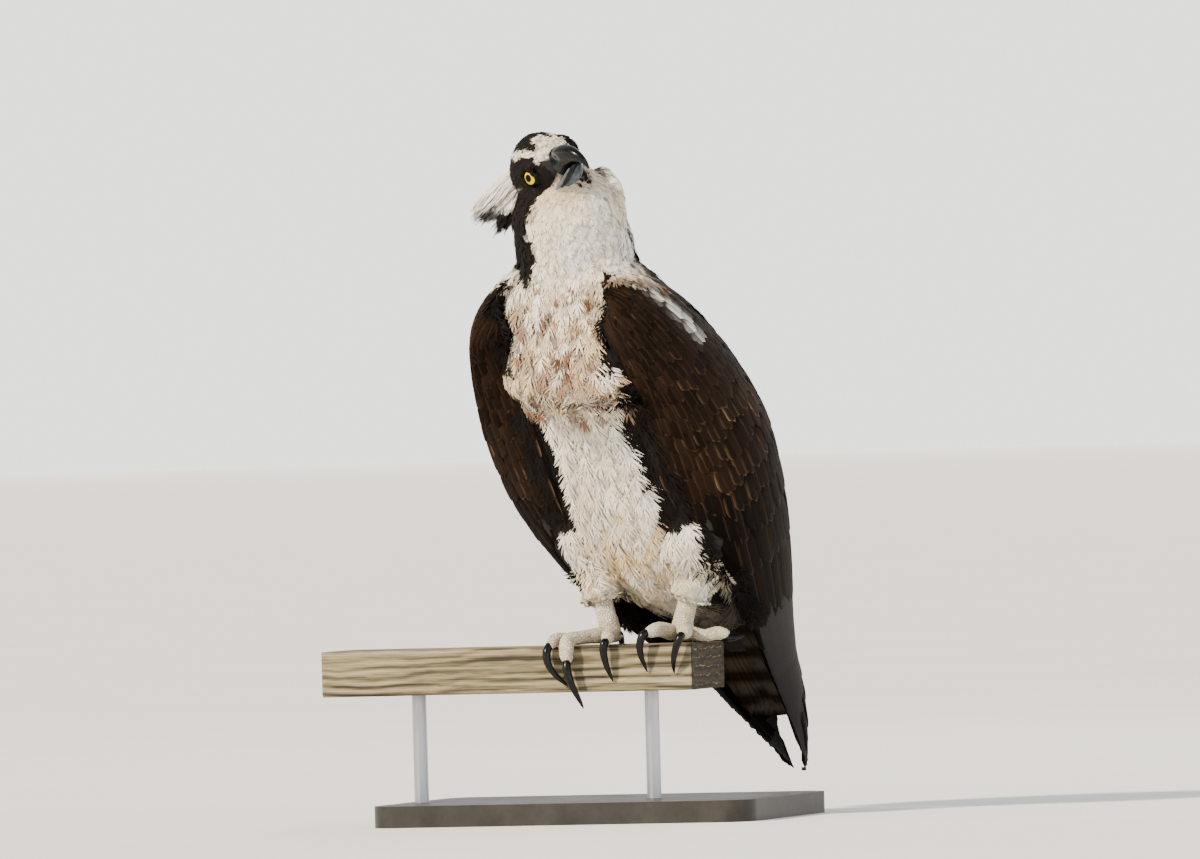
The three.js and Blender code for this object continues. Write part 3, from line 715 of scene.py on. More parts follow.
# Drawn in by the coat's depth, and more where the crest and the thigh feathers stand off
depth = mix(2.6, 1.2, head_share(skin_points))
far, along = near(skin_points, CREST)
depth = depth + 9 * (1 - ramp(16, 22, far)) * ramp(0.25, 0.5, along)
for side in (1, -1):
    far, along = near(skin_points, thigh_line(side))
    depth = depth + 5 * (1 - ramp(30, 38, far)) * ramp(0.35, 0.8, along)
skin_points = skin_points - skin_normals * depth[..., None]
# The feathers stop short of the bill: the face is drawn back, most under the chin
at_head = to_head(skin_points)
face = head_share(skin_points) > 0.2
drawn = np.clip(at_head[:, 0] - 10, 0, None) * (0.3 + 0.45 * ramp(-6, -15, at_head[:, 2])) * face
skin_points = skin_points - drawn[:, None] * (HEAD @ np.array([0, -1.0, 0]))


def unwrap(p):
    """Place on an unwrap of the bird: its turn about the body's line, and how far tailward it is."""
    x, w, d = np.moveaxis(to_body(p), -1, 0)
    turn = (np.degrees(np.arctan2(d + 8, x)) + 90) % 360 / 360
    return stack(0.02 + 0.95 * turn, 0.02 + 0.95 * np.clip((w + 360) / 740, 0, 1))


def wing_share(p):
    """1 where a skin point belongs to a wing: outside the torso's own sides."""
    x, w, d = np.moveaxis(to_body(p), -1, 0)
    wide, back, belly = np.moveaxis(table(TORSO, w), -1, 0)
    far = np.sqrt((x / wide) ** 2 + (d / np.where(d > 0, back, belly)) ** 2)
    beyond = ramp(0.98, 1.06, far) * ramp(-200, -186, w) * (np.abs(x) > 30) * (d > -82)
    beyond = beyond * ~((x > -50) & (x < 46) & (d < -56) & (w > -142) & (w < -108))
    edge_x = wing_shape(1, w)[4]
    for side in (1, -1):
        beyond = beyond * ~((near(p, thigh_line(side))[0] < 38) & (side * x < edge_x + 1) & (w > 20))
    return np.maximum(beyond, ramp(184, 190, w))


skin_tint = mix(body_tint(skin_points), WING_BROWN, wing_share(skin_points))
SKIN = piece("skin", skin_points, skin_quads, UNDER, bake=unwrap(skin_points), tint=skin_tint,
             stands_for=FLESH)  # fmt: skip


def drop(points, above=0.0):
    """Nearest places on the skin, lifted by above mm along its normal, found by a shrinkwrap in one go."""
    flat = np.ascontiguousarray(points.reshape(-1, 3) * MM, np.float32)
    mesh = bpy.data.meshes.new("probe")
    mesh.vertices.add(len(flat))
    mesh.vertices.foreach_set("co", flat.ravel())
    obj = placed("probe", mesh)
    wrap = obj.modifiers.new("wrap", "SHRINKWRAP")
    wrap.target, wrap.offset = SKIN, above * MM
    wrap.wrap_method, wrap.wrap_mode = "NEAREST_SURFACEPOINT", "ABOVE_SURFACE"
    found = read(obj.evaluated_get(bpy.context.evaluated_depsgraph_get()).to_mesh().vertices, "co", 3)
    bpy.data.objects.remove(obj)
    bpy.data.meshes.remove(mesh)
    return found.reshape(points.shape).astype(float) / MM


def grounded(points):
    """Nearest places on the skin and its normals there."""
    on = drop(points)
    return on, unit(drop(on, 6.0) - on)


# The lie of the coat


def lie(p):
    """Which way the feathers run: back over the head, down the neck, tailward on the body, down the thighs."""
    f, l, u = np.moveaxis(to_head(p), -1, 0)
    over = stack(-np.ones_like(f), 0.012 * l, -0.25 - 0.012 * np.minimum(u, 0))
    head_way = stack(over[..., 1], -over[..., 0], over[..., 2]) @ HEAD.T
    down = (p - NECK_TOP) @ NECK_WAY
    way = mix(mix(NECK_WAY, TAILWARD, ramp(80, 150, down)), head_way, head_share(p))
    for line, reach in ((CREST, 24), (RUFF, 22)):
        far, _ = near(p, line)
        way = mix(way, unit(line[1] - line[0]), 1 - ramp(0.5 * reach, reach, far))
    for line in (thigh_line(1), thigh_line(-1)):
        far, along = near(p, line)
        way = mix(way, unit(line[1] - line[0]), (1 - ramp(34, 48, far)) * ramp(0.0, 0.3, along))
    return way


CELL_KEYS = np.array([73856093, 19349663, 83492791])


def scattered(count, gap, keep):
    """Points over the skin about gap(p) mm apart where keep(p) holds, one to a cell of that size.

    The cells come in 9 sizes; each cell's key is the exclusive or of its numbers times large primes.
    """
    tri = np.concatenate([skin_quads[:, [0, 1, 2]], skin_quads[:, [0, 2, 3]]])
    a, b, c = (skin_points[tri[:, i]] for i in range(3))
    area = np.linalg.norm(np.cross(b - a, c - a), axis=-1) / 2
    pick = rng.choice(len(tri), count, p=area / area.sum())
    s, t = np.sqrt(rng.random(count))[:, None], rng.random(count)[:, None]
    p = (1 - s) * a[pick] + s * (1 - t) * b[pick] + s * t * c[pick]
    p = p[keep(p)]
    sizes = np.geomspace(1.6, 9.0, 9)
    grade = np.interp(np.log(gap(p)), np.log(sizes), np.arange(9)) + rng.uniform(-0.5, 0.5, len(p))
    grade = np.clip(np.round(grade), 0, 8).astype(np.int64)
    cell = np.floor(p / sizes[grade][:, None] + grade[:, None] * 0.37).astype(np.int64)
    key = np.bitwise_xor.reduce(cell * CELL_KEYS, axis=1) * 16 + grade
    return p[np.unique(key, return_index=True)[1]]


def spines(root, way, length, cling, stations=5):
    """Each feather's line over the skin, which steps from its root along the lie and falls back by cling."""
    on, normal = grounded(root)
    line, up = [on], [normal]
    go = unit(way - (way * normal).sum(-1, keepdims=True) * normal)
    for _ in range(stations - 1):
        ahead = line[-1] + go * (length / (stations - 1))[:, None]
        on, normal = grounded(ahead)
        place = mix(ahead, on, np.full(len(on), cling))
        go = unit(mix(go, unit(place - line[-1]), np.full(len(on), 0.7)))
        line.append(place)
        up.append(unit(mix(up[-1], normal, np.full(len(on), 0.6))))
    return np.stack(line, 1), np.stack(up, 1)


PATCH = 0.003  # side of each feather's own patch on the unwrap


def read_along(values, t):
    """Values at places t from 0 to 1 along each feather's stations."""
    n = values.shape[1] - 1
    at = np.clip(t, 0, 1) * n
    i = np.minimum(at.astype(int), n - 1)
    k = (at - i)[..., None]
    rows = np.arange(len(values)).reshape((-1,) + (1,) * (t.ndim - 1))
    got = values[rows, i] * (1 - k) + values[rows, i + 1] * k
    over = np.clip(t - 1, 0, None)[..., None]
    return got + over * (values[rows, n] - values[rows, n - 1]) * n


def tufts(name, line, up, half, lift, tint_of, barbs, thick):
    """Soft feathers as fans of barbs: each barb leaves the shaft, bends outward and ends on the feather's outline.

    half is the feathers' half width and lift(t) a barb's height over the skin by its place along the feather;
    the sides curve down. tint_of gets the root, the place along and the place across, -1 to 1.
    """
    n, m = len(line), barbs
    place = (np.arange(m) + 0.5) / m
    start = np.clip(0.02 + 0.72 * place + rng.uniform(-0.04, 0.04, (n, m)), 0, 0.9)
    end = np.minimum(start + rng.uniform(0.24, 0.4, (n, m)), 1.0) + rng.uniform(-0.03, 0.06, (n, m))
    hand = np.where(np.arange(m) % 2 == 0, 1.0, -1.0)
    outline = np.sin(np.pi * np.clip(0.1 + 0.86 * end, 0, 1)) ** 0.7
    reach = hand * outline * half[:, None] * rng.uniform(0.75, 1.15, (n, m))
    reach = reach * mix(1.0, 0.55, ramp(0.8, 1.0, place))
    s = np.array([0.0, 0.55, 1.0])
    t = start[..., None] + (end - start)[..., None] * s
    across = reach[..., None] * s**0.8
    middle, normal = read_along(line, t), unit(read_along(up, t))
    way = unit(np.gradient(middle, axis=2))
    side = unit(np.cross(normal, way))
    twist = rng.uniform(-0.2, 0.2, (n, m))[..., None] + 0 * t
    height = lift(t) - 0.1 * np.abs(across) + rng.uniform(-0.22, 0.22, (n, m))[..., None]
    centre = middle + side * across[..., None] + normal * height[..., None]
    go = unit(np.gradient(centre, axis=2))
    flat = unit(np.cross(normal, go)) + normal * twist[..., None]
    wide = thick * np.array([0.5, 0.5, 0.1]) * rng.uniform(0.75, 1.25, (n, m))[..., None]
    points = np.stack([centre - flat * wide[..., None], centre + flat * wide[..., None]], 3)
    cells = np.arange(n * m)[:, None, None] * 6 + np.array([[0, 1, 3, 2], [2, 3, 5, 4]])
    beside = across / np.maximum(half[:, None, None], 0.1)
    tint = tint_of(np.broadcast_to(line[:, :1, None], (n, m, 3, 3)), t, beside)
    tint = tint * rng.uniform(0.9, 1.08, (n, m))[..., None, None]
    bake = unwrap(line[:, 0])[:, None, None] + stack(0.5 + 0.5 * beside, t) * PATCH - PATCH / 2
    both = lambda v: np.repeat(v.reshape(-1, v.shape[-1]), 2, 0)
    piece(name, points.reshape(-1, 3), cells.reshape(-1, 4), SOFT,
          bake=both(bake), tint=both(tint))  # fmt: skip


def vanes(name, grid, tint, lay, root, thick):
    """Stiff feathers as thin closed plates: grid is (feather, row, column, xyz) of the upper face.

    The plates thin out to their sides and their tip.
    """
    n, rows, columns, _ = grid.shape
    way, cross = np.gradient(grid, axis=1), np.gradient(grid, axis=2)
    normal = unit(np.cross(cross, way))
    edge = np.ones((rows, columns))
    edge[:, [0, -1]] = 0.15
    edge[-1] = 0.1
    under = grid - normal * (thick * edge)[None, ..., None]
    points = np.stack([grid, under], 1).reshape(-1, 3)
    i, j = np.meshgrid(np.arange(rows - 1), np.arange(columns - 1), indexing="ij")
    a = (i * columns + j).ravel()
    top = np.stack([a, a + 1, a + columns + 1, a + columns], -1)
    rim = np.concatenate([
        np.arange(columns), np.arange(1, rows) * columns + columns - 1,
        (rows - 1) * columns + np.arange(columns - 2, -1, -1), np.arange(rows - 2, 0, -1) * columns,
    ])  # fmt: skip
    down = rows * columns
    after = np.roll(rim, -1)
    walls = np.stack([rim, rim + down, after + down, after], -1)
    cells = np.concatenate([top, top[:, ::-1] + down, walls])
    cells = (np.arange(n)[:, None, None] * 2 * down + cells).reshape(-1, 4)
    twice = lambda v: np.stack([v, v], 1).reshape(-1, v.shape[-1])
    size = np.abs(lay).max((1, 2), keepdims=True)
    bake = unwrap(root)[:, None, None] + (lay / size * [0.5, 1.0] + [0.5, 0]) * PATCH - PATCH / 2
    piece(name, points, cells, VANE, uv=twice(lay), bake=twice(bake), tint=twice(tint))


COLUMNS = 7
MIDDLE = COLUMNS // 2


def lattice(rows):
    """Places along a feather from 0 to 1 and across it from -1 to 1, on the axes (feather, row, column)."""
    return np.linspace(0, 1, rows)[None, :, None], np.linspace(-1, 1, COLUMNS)[None, None, :]


def blade(at, start, end, turn0, turn1, half, rise, lap, rows):
    """Grid and local map of feathers on a surface at(place, turn, depth).

    Each runs from start to end in place and from turn0 to turn1; half is its half width in mm, rise(t) its
    depth at root and tip, lap how much deeper its upper edge lies. The tip is rounded, with small splits.
    """
    n = len(start)
    T, E = lattice(rows)
    T = T**0.85
    outline = np.clip(1 - ((T - 0.72) / 0.29).clip(0, 1) ** 2.4, 0.0, 1) ** 0.5 * (0.72 + 0.28 * ramp(0, 0.35, T))
    outline = np.maximum(outline, 0.06)
    split = rng.uniform(-1, 1, (n, rows, COLUMNS)) * 0.5 * ramp(0.35, 1, T) * np.abs(E)
    place = start[:, None, None] + (end - start)[:, None, None] * T + 0 * E
    place = place - 0.32 * half[:, None, None] * E**2 * ramp(0.5, 1.0, T) + split
    middle = turn0[:, None, None] + (turn1 - turn0)[:, None, None] * T
    width = half[:, None, None] * outline
    depth = rise(T) + lap * (E + 1) / 2 + 0.05 * half[:, None, None] * E**2
    grid = at(place, middle, width * E, depth + 0 * place)
    length = np.linalg.norm(grid[:, -1, MIDDLE] - grid[:, 0, MIDDLE], axis=-1)
    lay = stack(width * E + 0 * place, length[:, None, None] * T + 0 * E)
    return grid, lay, T + 0 * place, E + 0 * place


# Wings


def on_wing(side):
    """Surface for wing feathers: a place, a turn, a reach across in mm and a depth below the surface."""

    def at(place, turn, across, depth):
        radius = wing_shape(side, place)[0]
        return wing_point(side, place, turn + np.degrees(across / np.maximum(radius, 6)), depth)

    return at


def vane_tint(base, edge, T, E, width, tip=1.0):
    """Dark vane with a paler rim: rim share grows to the edge and the tip; each feather has its own tone."""
    rim = ramp(1 - width, 1.0, np.abs(E)) * ramp(0.25, 0.7, T) + ramp(1 - 0.35 * width * tip, 1.0, T) * tip
    rim = np.clip(rim, 0, 1)
    rim = rim * rng.uniform(0, 1, (len(T), 1, 1)) ** 1.6
    tone = rng.uniform(0.55, 1.5, (len(T), 1, 1, 1))
    return mix(base, edge, rim) * tone


def wing(side):
    """One wing's rows of stiff feathers, each row a piece."""
    name = "left" if side > 0 else "right"
    at = on_wing(side)
    done = []

    def tier(label, gap, tip0, step, length, half, rim, tan, rise=(5.0, 0.6), lap=1.5, rows=12,
             jitter=2.5, base=BROWN, top_gap=5):  # fmt: skip
        """One row across the whole wing, from its front edge to its upper edge, gap mm apart.

        Tips run from tip0 over step mm; rim is the pale edge's width and tan how pale it is; rise is the
        feathers' depth at root and tip.
        """
        middle = np.array(tip0 + step / 2 - length * 0.35)
        radius, _, top, bottom, _, _ = wing_shape(side, middle)
        first, last = bottom - panel_turn(side, middle) + 3, top - top_gap
        count = int(np.radians(last - first) * radius / gap) + 1
        share = np.linspace(0, 1, count)
        turn = first + (last - first) * share + rng.uniform(-1, 1, count) * 0.3 * gap * 57.3 / radius
        end = tip0 + step * share + 1.9 * rng.uniform(-jitter, jitter, count)
        start = end - length * rng.uniform(0.94, 1.06, count)
        grid, lay, T, E = blade(at, start, end, turn, turn - 2, half * rng.uniform(0.9, 1.1, count),
                                lambda t: mix(rise[0], rise[1], np.minimum(1, t * 2.2)), lap, rows)  # fmt: skip
        tint = vane_tint(base, mix(BROWN, TAN, tan), T, E, rim)
        # A white streak at the shoulder across the rows: a painted highlight, drawn on the feathers as white
        patch = np.exp(-(((turn - 30 + 0.13 * (end + 172)) / 5) ** 2))
        patch = patch * ramp(-188, -176, end) * (1 - ramp(-112, -96, end))
        tint = mix(tint, WHITE, patch[:, None, None] * ramp(0.3, 0.6, T))
        done.append((label, grid, lay, tint))

    # Primaries: from one root line, with tips that step back from the wing's point
    count, step, rows, root_w, point_w, half = 9, 17.5, 22, 150, 360, 10.5
    i = np.arange(count)
    end = point_w - step * i
    T, E = lattice(rows)
    w = root_w + (end[:, None, None] - root_w) * T
    radius, _, top, bottom, _, _ = wing_shape(side, w)
    room = np.maximum(0.6, (point_w - w) / step)
    edge = np.minimum(np.degrees(10 / radius), (top - bottom) / 2)
    share = np.minimum(1, i[:, None, None] / np.minimum(count - 1, room))
    middle = mix(bottom + edge, top - edge, share)
    outline = np.clip(1 - ((T - 0.8) / 0.21).clip(0, 1) ** 2.2, 0.03, 1) ** 0.6
    split = rng.uniform(-0.6, 0.6, (count, rows, COLUMNS)) * np.abs(E) * ramp(0.4, 1, T)
    sunk = 1 + 3 * (1 - ramp(205, 262, w)) + np.maximum(0, np.minimum(count - 1, room) - i[:, None, None])
    grid = at(w - 4 * E**2 * ramp(0.7, 1, T) + split, middle, half * outline * E, sunk + 0.4 * (E + 1) / 2)
    lay = stack(half * outline * E + 0 * w, (w - root_w) + 0 * E)
    full = np.zeros((count, rows, COLUMNS))
    done.append(("primaries", grid, lay, vane_tint(SOOT, DARK, T + full, E + full, 0.2, 0.4)))
    tier("secondaries_b", 9.5, 196, 62, 96, 11, 0.1, 0.12, (6.5, 3.0), 1.2, 16, base=SOOT)
    tier("secondaries", 9.5, 146, 66, 118, 11, 0.12, 0.16, (6.5, 2.2), 1.2, 16, base=DARK)
    tier("greater_b", 9, 92, 40, 74, 10.5, 0.14, 0.2, (6, 1.8), base=DARK)
    tier("greater", 8.5, 52, 30, 58, 10, 0.18, 0.3, (6, 1.4), base=DARK)
    tier("median_d", 8.5, 26, 20, 46, 9.5, 0.2, 0.4, (5.5, 1.1), base=DARK)
    tier("median_c", 8, 2, 14, 42, 9.5, 0.2, 0.55)
    tier("median_b", 8, -22, 10, 38, 9, 0.22, 0.8)
    tier("median_a", 8, -44, 6, 35, 8.5, 0.22, 0.8)
    for k, tip in enumerate((-62, -78, -93, -107, -120, -132, -143, -153, -162, -170, -178)):
        gap, long, half = (mix(a, b, k / 10) for a, b in ((8, 5.5), (32, 15), (8.5, 5.2)))
        tan = 0.34 if k < 5 else 0.2
        tier(f"lesser_{k}", gap, tip, 3, long, half, 0.2, tan, (3.6, 0.2), 1.0, 8, 2.0, top_gap=2)
    # Scapulars and tertials over the wing's upper edge; at the shoulder a white streak on their edges is a painted
    # highlight
    for row, (shift, long, half) in enumerate(((-3, 54, 12), (-13, 46, 11), (8, 58, 12))):
        root = np.arange(-186, 92, 13.0) + 4 * row
        top, far = wing_shape(side, root)[2], wing_shape(side, root + long)[2]
        rise = lambda t: mix(2.0, -1.6, np.minimum(1, t * 1.6)) - 0.5 * row
        grid, lay, T, E = blade(at, root, root + long, top + shift, far + shift + rng.uniform(-2, 2, len(root)),
                                np.full(len(root), float(half)), rise, 0.6, 12)  # fmt: skip
        tint = vane_tint(BROWN, mix(BROWN, TAN, 0.3), T, E, 0.2)
        # White edges at the shoulder: a painted highlight
        white = ramp(-190, -176, root) * (1 - ramp(-128, -112, root)) * (row != 1)
        lit = white[:, None, None] * ramp(-0.35, 0.1, -E if row == 0 else E) * ramp(0.2, 0.45, T)
        done.append((f"scapulars_{row}", grid, lay, mix(tint, WHITE * 0.9, lit)))
    for label, grid, lay, tint in done:
        if side < 0:
            grid, lay, tint = grid[:, :, ::-1], lay[:, :, ::-1], tint[:, :, ::-1]
        vanes(f"wing_{name}_{label}", grid, tint, lay, grid[:, 0, MIDDLE], 0.5 if label == "primaries" else 0.4)


for side in (1, -1):
    wing(side)

# Rows of: place tailward, half width, half depth, middle's depth
TAIL = [[120, 14, 10, -6], [160, 23, 7, -9], [200, 26, 5, -8], [260, 28, 4, -5], [305, 29, 2.6, -3]]


def tail():
    """Six pairs of barred feathers, the middle ones on top, and the soft root they come out of."""
    start, tip = 140, 305
    pair, hand = np.repeat(np.arange(6), 2), np.tile([1.0, -1.0], 6)
    rank = (2 * pair + (hand < 0))[:, None, None]
    pair, hand = pair[:, None, None], hand[:, None, None]
    T, E = lattice(24)
    w = start + (tip - 1.4 * pair - start) * T
    outline = np.clip(1 - ((T - 0.86) / 0.15).clip(0, 1) ** 2.2, 0.05, 1) ** 0.55
    across = hand * mix(0.5 + 3.0 * pair, 1.5 + 3.9 * pair, T)
    d = mix(-8, -3, ramp(150, 305, w)) + 3.4 - 0.62 * rank
    reach = (8.5 + 2 * T) * outline * E
    grid = from_body(lean(w) + across + reach, w - 3 * E**2 * ramp(0.8, 1, T) + 0 * E, d - 0.04 * np.abs(reach))
    # Dark brown with dim grey bars on the outer pairs: the top's own colour, kept dark on the pale underside as
    # painted shade
    bars = ramp(-0.2, 0.5, np.sin((w + 0 * E) / 26 * 2 * math.pi)) * (pair > 0) * 0.55
    tint = mix(colour("#22180f"), GREY * 0.3, bars)
    vanes("tail_feathers", grid, tint, stack(reach + 0 * w, w - start + 0 * E), grid[:, 0, MIDDLE], 0.45)
    a = np.linspace(0, 2 * math.pi, 24, endpoint=False)
    rings = []
    for w in (118.0, 150.0, 180.0, 205.0, 225.0):
        wide, deep, middle = table(TAIL, w)
        rings.append(from_body(lean(w) + (wide - 4) * np.cos(a), w, middle + (deep * 0.45) * np.sin(a)))
    points, faces = loft(np.stack(rings))
    # Dark brown all round: the root's own colour above, painted shade on its white underside
    piece("tail_root", points, faces, UNDER, bake=unwrap(points), tint=BROWN,
          stands_for=["tail"])  # fmt: skip


tail()

# Body plumage


def dark_back(p):
    """Where the back's brown feathers grow."""
    x, w, d = np.moveaxis(to_body(p), -1, 0)
    return (ramp(8, 34, d + 0.18 * np.abs(x)) > 0.5) & (w > -196) & (head_share(p) < 0.3)


def open_skin(p):
    """Where soft feathers grow: not on the wings, the eyes or where the bill and tail come out."""
    f, l, u = np.moveaxis(to_head(p), -1, 0)
    x, w, d = np.moveaxis(to_body(p), -1, 0)
    eye = np.hypot(f - 0.5, u - 1) < 8.0
    bill = (f > 15) & (np.abs(l) < 12) & (u > -13) & (u < 6) | (f > 13) & (u < -10)
    far, along = near(p, CREST)
    blown = (far < 26) & (along > 0.42)
    return ~((eye & (np.abs(l) > 14)) | bill | blown) & (wing_share(p) < 0.5) & (w < 200)


def coat_place(p):
    """How far down the neck points are, how far from the face, and their share of the head."""
    f, l, u = np.moveaxis(to_head(p), -1, 0)
    face = np.linalg.norm(stack(f - 14, np.abs(l) - 10, u), axis=-1)
    return (p - NECK_TOP) @ NECK_WAY, face, head_share(p)


def spacing(p):
    """How far apart the soft feathers grow: closest on the face, widest on the body."""
    down, face, share = coat_place(p)
    return mix(mix(3.6, 7.4, ramp(10, 140, down)), mix(2.6, 1.8, ramp(34, 16, face)), share)


def length_of(p):
    """The soft feathers' length: shortest on the face and down the thighs, longest on the body."""
    down, face, share = coat_place(p)
    long = mix(mix(13.0, 28.0, ramp(10, 140, down)), mix(9.0, 4.2, ramp(34, 14, face)), share)
    for side in (1, -1):
        far, along = near(p, thigh_line(side))
        long = long * (1 - 0.62 * (1 - ramp(34, 46, far)) * ramp(0.35, 0.95, along))
    return long + 7 * (1 - ramp(8, 22, near(p, CREST)[0])) + 4 * (1 - ramp(10, 22, near(p, RUFF)[0]))


roots = scattered(900000, spacing, open_skin)
head = head_share(roots) > 0.25
dark = dark_back(roots)


def wing_lining(p):
    """The bare inner edge of the wings, ahead of their rows of feathers."""
    x, w, d = np.moveaxis(to_body(p), -1, 0)
    edge_x = wing_shape(1, w)[4]
    return (wing_share(p) >= 0.5) & (np.abs(x) < edge_x + 9) & (d < -14) & (w < 140) & (w > -190)


MOST_TRIANGLES = 190000


def plumage(name, roots, barbs, thick, loft_to, width, shade=None):
    """Soft feathers on the skin at these roots, in pieces small enough to pass on.

    thick is a barb's half width, loft_to a tip's height over the skin for a feather of 20 mm, and width half
    the feather's width against its length; shade is one colour instead of the markings.
    """
    limit = MOST_TRIANGLES // (4 * barbs)
    for k in range(0, len(roots), limit):
        p = roots[k : k + limit]
        long = length_of(p) * rng.uniform(0.8, 1.2, len(p))
        way = unit(lie(p)) + rng.normal(0, 0.11, p.shape)
        loose = 0
        for side in (1, -1):
            far, along = near(p, thigh_line(side))
            loose = np.maximum(loose, (1 - ramp(34, 46, far)) * ramp(0.2, 0.5, along))
        line, up = spines(p, way, long, cling=0.75 - 0.5 * loose)
        share = head_share(p)[:, None, None]
        tip = (loft_to * long / 20 * rng.uniform(0.4, 1.5, len(p)))[:, None, None]
        lift = lambda t: -1.0 + (tip + 1.4) * np.minimum(1, t * 1.3) * mix(1, 0.8, share)
        tone = rng.uniform(0.82, 1.06, (len(p), 1, 1, 1))
        bib = bib_share(p)
        flecked = rng.random(len(p)) < 0.75 * bib * ramp(-0.5, 0.4, noise(p, 17, 12))
        brown = flecked[:, None, None] * rng.uniform(0.5, 1, (len(p), 1, 1))
        darkest = 0.25 + 0.35 * ramp(-40, -90, to_body(p)[:, 1] + 100)[:, None, None, None]
        hue = np.where(rng.random((len(p), 1, 1, 1)) < darkest, STREAK, RUFOUS)

        def light(at, t, e):
            centre = ramp(0.3, 0.55, t) * (1 - ramp(0.3, 0.95, np.abs(e)))
            if shade is None:
                tint = mix(body_tint(at), hue, np.clip(brown * centre, 0, 1))
            else:
                tint = np.broadcast_to(shade, at.shape)
            return tint * tone * mix(0.72, 1.05, ramp(0.1, 0.8, t))[..., None]

        tufts(f"{name}_{k // limit}", line, up, width * long, lift, light, barbs, thick)


def crest():
    """Long nape feathers blown to the bird's right: white, with dark ragged ends and a dark lock below."""
    n, first_of_lock = 330, 297
    a = rng.random(n)
    lock = np.arange(n) >= first_of_lock
    roots = table([[0, -94, 393, 92], [1, -98, 364, 90]], a)
    tips = table([[0, -134, 359, 76], [0.4, -131, 351, 76], [1, -107, 353, 78]], a)
    root = from_view(*roots.T) + rng.normal(0, 2.0, (n, 3))
    tip = from_view(*tips.T) + rng.normal(0, 1.4, (n, 3))
    root = np.where(lock[:, None], from_view(-101, 357, 86) + rng.normal(0, 2.5, (n, 3)), root)
    tip = np.where(lock[:, None], from_view(-114, 342, 80) + rng.normal(0, 3.0, (n, 3)), tip)
    reach = rng.uniform(0.62, 1.06, n)
    t = np.linspace(0, 1, 5)
    line = root[:, None] + (tip - root)[:, None] * t[None, :, None] * reach[:, None, None]
    line[..., 2] += (3.0 * np.sin(math.pi * t * 0.85))[None] * rng.uniform(-0.2, 1.4, (n, 1))
    up = np.broadcast_to(unit(np.array([-0.1, -0.9, 0.42])), line.shape)
    low = np.maximum(ramp(0.1, 0.4, a) * rng.uniform(0.5, 1, n), lock)[:, None, None]

    def light(at, t, e):
        start = np.where(lock[:, None, None], -0.2, 0.78 - 0.3 * low)
        tint = mix(WHITE, DARK, ramp(start, start + 0.2, t) * low)
        return tint * rng.uniform(0.88, 1.05, (n, 1, 1, 1))

    spread = rng.uniform(-5, 4, n)[:, None, None]
    half = np.where(lock, 2.6, 4.0)
    tufts("crest_feathers", line, up, half, lambda t: spread * (0.4 + 0.6 * t), light, 18, 0.8)


def bib_edge():
    """Longer feathers along the bib's lower edge that hang clear of the belly, in ragged locks."""
    n = 190
    a = rng.random(n)
    turn = -137 + 71 * a
    edge = mix(-126, -103, ramp(-125, -70, turn)) + 3 * np.sin(9 * a) + rng.normal(0, 2.5, n)
    t = np.linspace(0, 1, 5)
    long = rng.uniform(20, 32, n)
    w = edge[:, None] - long[:, None] * (1 - t) + 5
    clear = mix(-1.5, -9.5, ramp(-124, -106, edge))[:, None] + rng.uniform(-1.5, 1.5, (n, 1))
    off = mix(1.0, 0, t)[None] + t[None] ** 2 * clear
    line = torso_point(w, turn[:, None] + rng.uniform(-3, 3, (n, 1)) * t, off)
    up = unit(line - from_body(0, w, 0))
    stain = rng.random((n, 1, 1)) < 0.35

    def light(at, t, e):
        tint = mix(WHITE, BUFF, 0.35 + 0 * t)
        tint = mix(tint, RUFOUS, stain * 0.5 * ramp(0.1, 0.4, t) * (1 - ramp(0.65, 0.95, t)))
        return tint * mix(0.75, 1.02, t)[..., None]

    tufts("bib_edge_feathers", line, up, np.full(n, 7.5), lambda t: 0.4 + 0 * t, light, 18, 1.0)


crest()
bib_edge()
order = rng.permutation(len(roots))
roots, head, dark = roots[order], head[order], dark[order]
plumage("head_feathers", roots[head], 9, 0.75, 2.2, 0.32)
plumage("body_feathers", roots[~head & ~dark], 18, 1.15, 3.4, 0.38)
plumage("mantle_feathers", roots[~head & dark], 16, 1.3, 2.4, 0.4)
lining = scattered(500000, lambda p: 6.0 + 0 * p[:, 0], wing_lining)
plumage("wing_lining_feathers", lining, 14, 1.2, 1.6, 0.4, DARK)

# Eyes


def eyes():
    """Eyeballs that look out and a little ahead; the map gives the turn round the pupil and the angle from it."""
    glass = eye_glass()
    rows, around = 40, 48
    for side, name in ((1, "left"), (-1, "right")):
        centre = from_head(0, side * 19.2, 1)
        axis = unit(np.array([side * 1.0, -0.42, 0.27]) @ HEAD.T)
        across = unit(np.cross(axis, [0.1, 0.2, 1]))
        rise = np.cross(across, axis)
        angle = np.linspace(0.004, math.pi - 0.004, rows)
        a = np.linspace(0, 2 * math.pi, around, endpoint=False)
        radius = 8.35 - 0.1 * ramp(0.5, 0.9, angle) + 0.25 * (1 - ramp(0.3, 0.75, angle))
        ring = np.cos(a)[None, :, None] * across + np.sin(a)[None, :, None] * rise
        way = np.cos(angle)[:, None, None] * axis + np.sin(angle)[:, None, None] * ring
        points = centre + radius[:, None, None] * way
        lay = stack(0 * angle[:, None] + a / (2 * math.pi), angle[:, None] / math.pi * 1.2 + 0 * a)
        piece(f"eye_{name}_ball", points.reshape(-1, 3), tube_faces(rows, around)[:, ::-1], glass,
              uv=lay.reshape(-1, 2), stands_for=[f"eye_{name}"])  # fmt: skip


eyes()

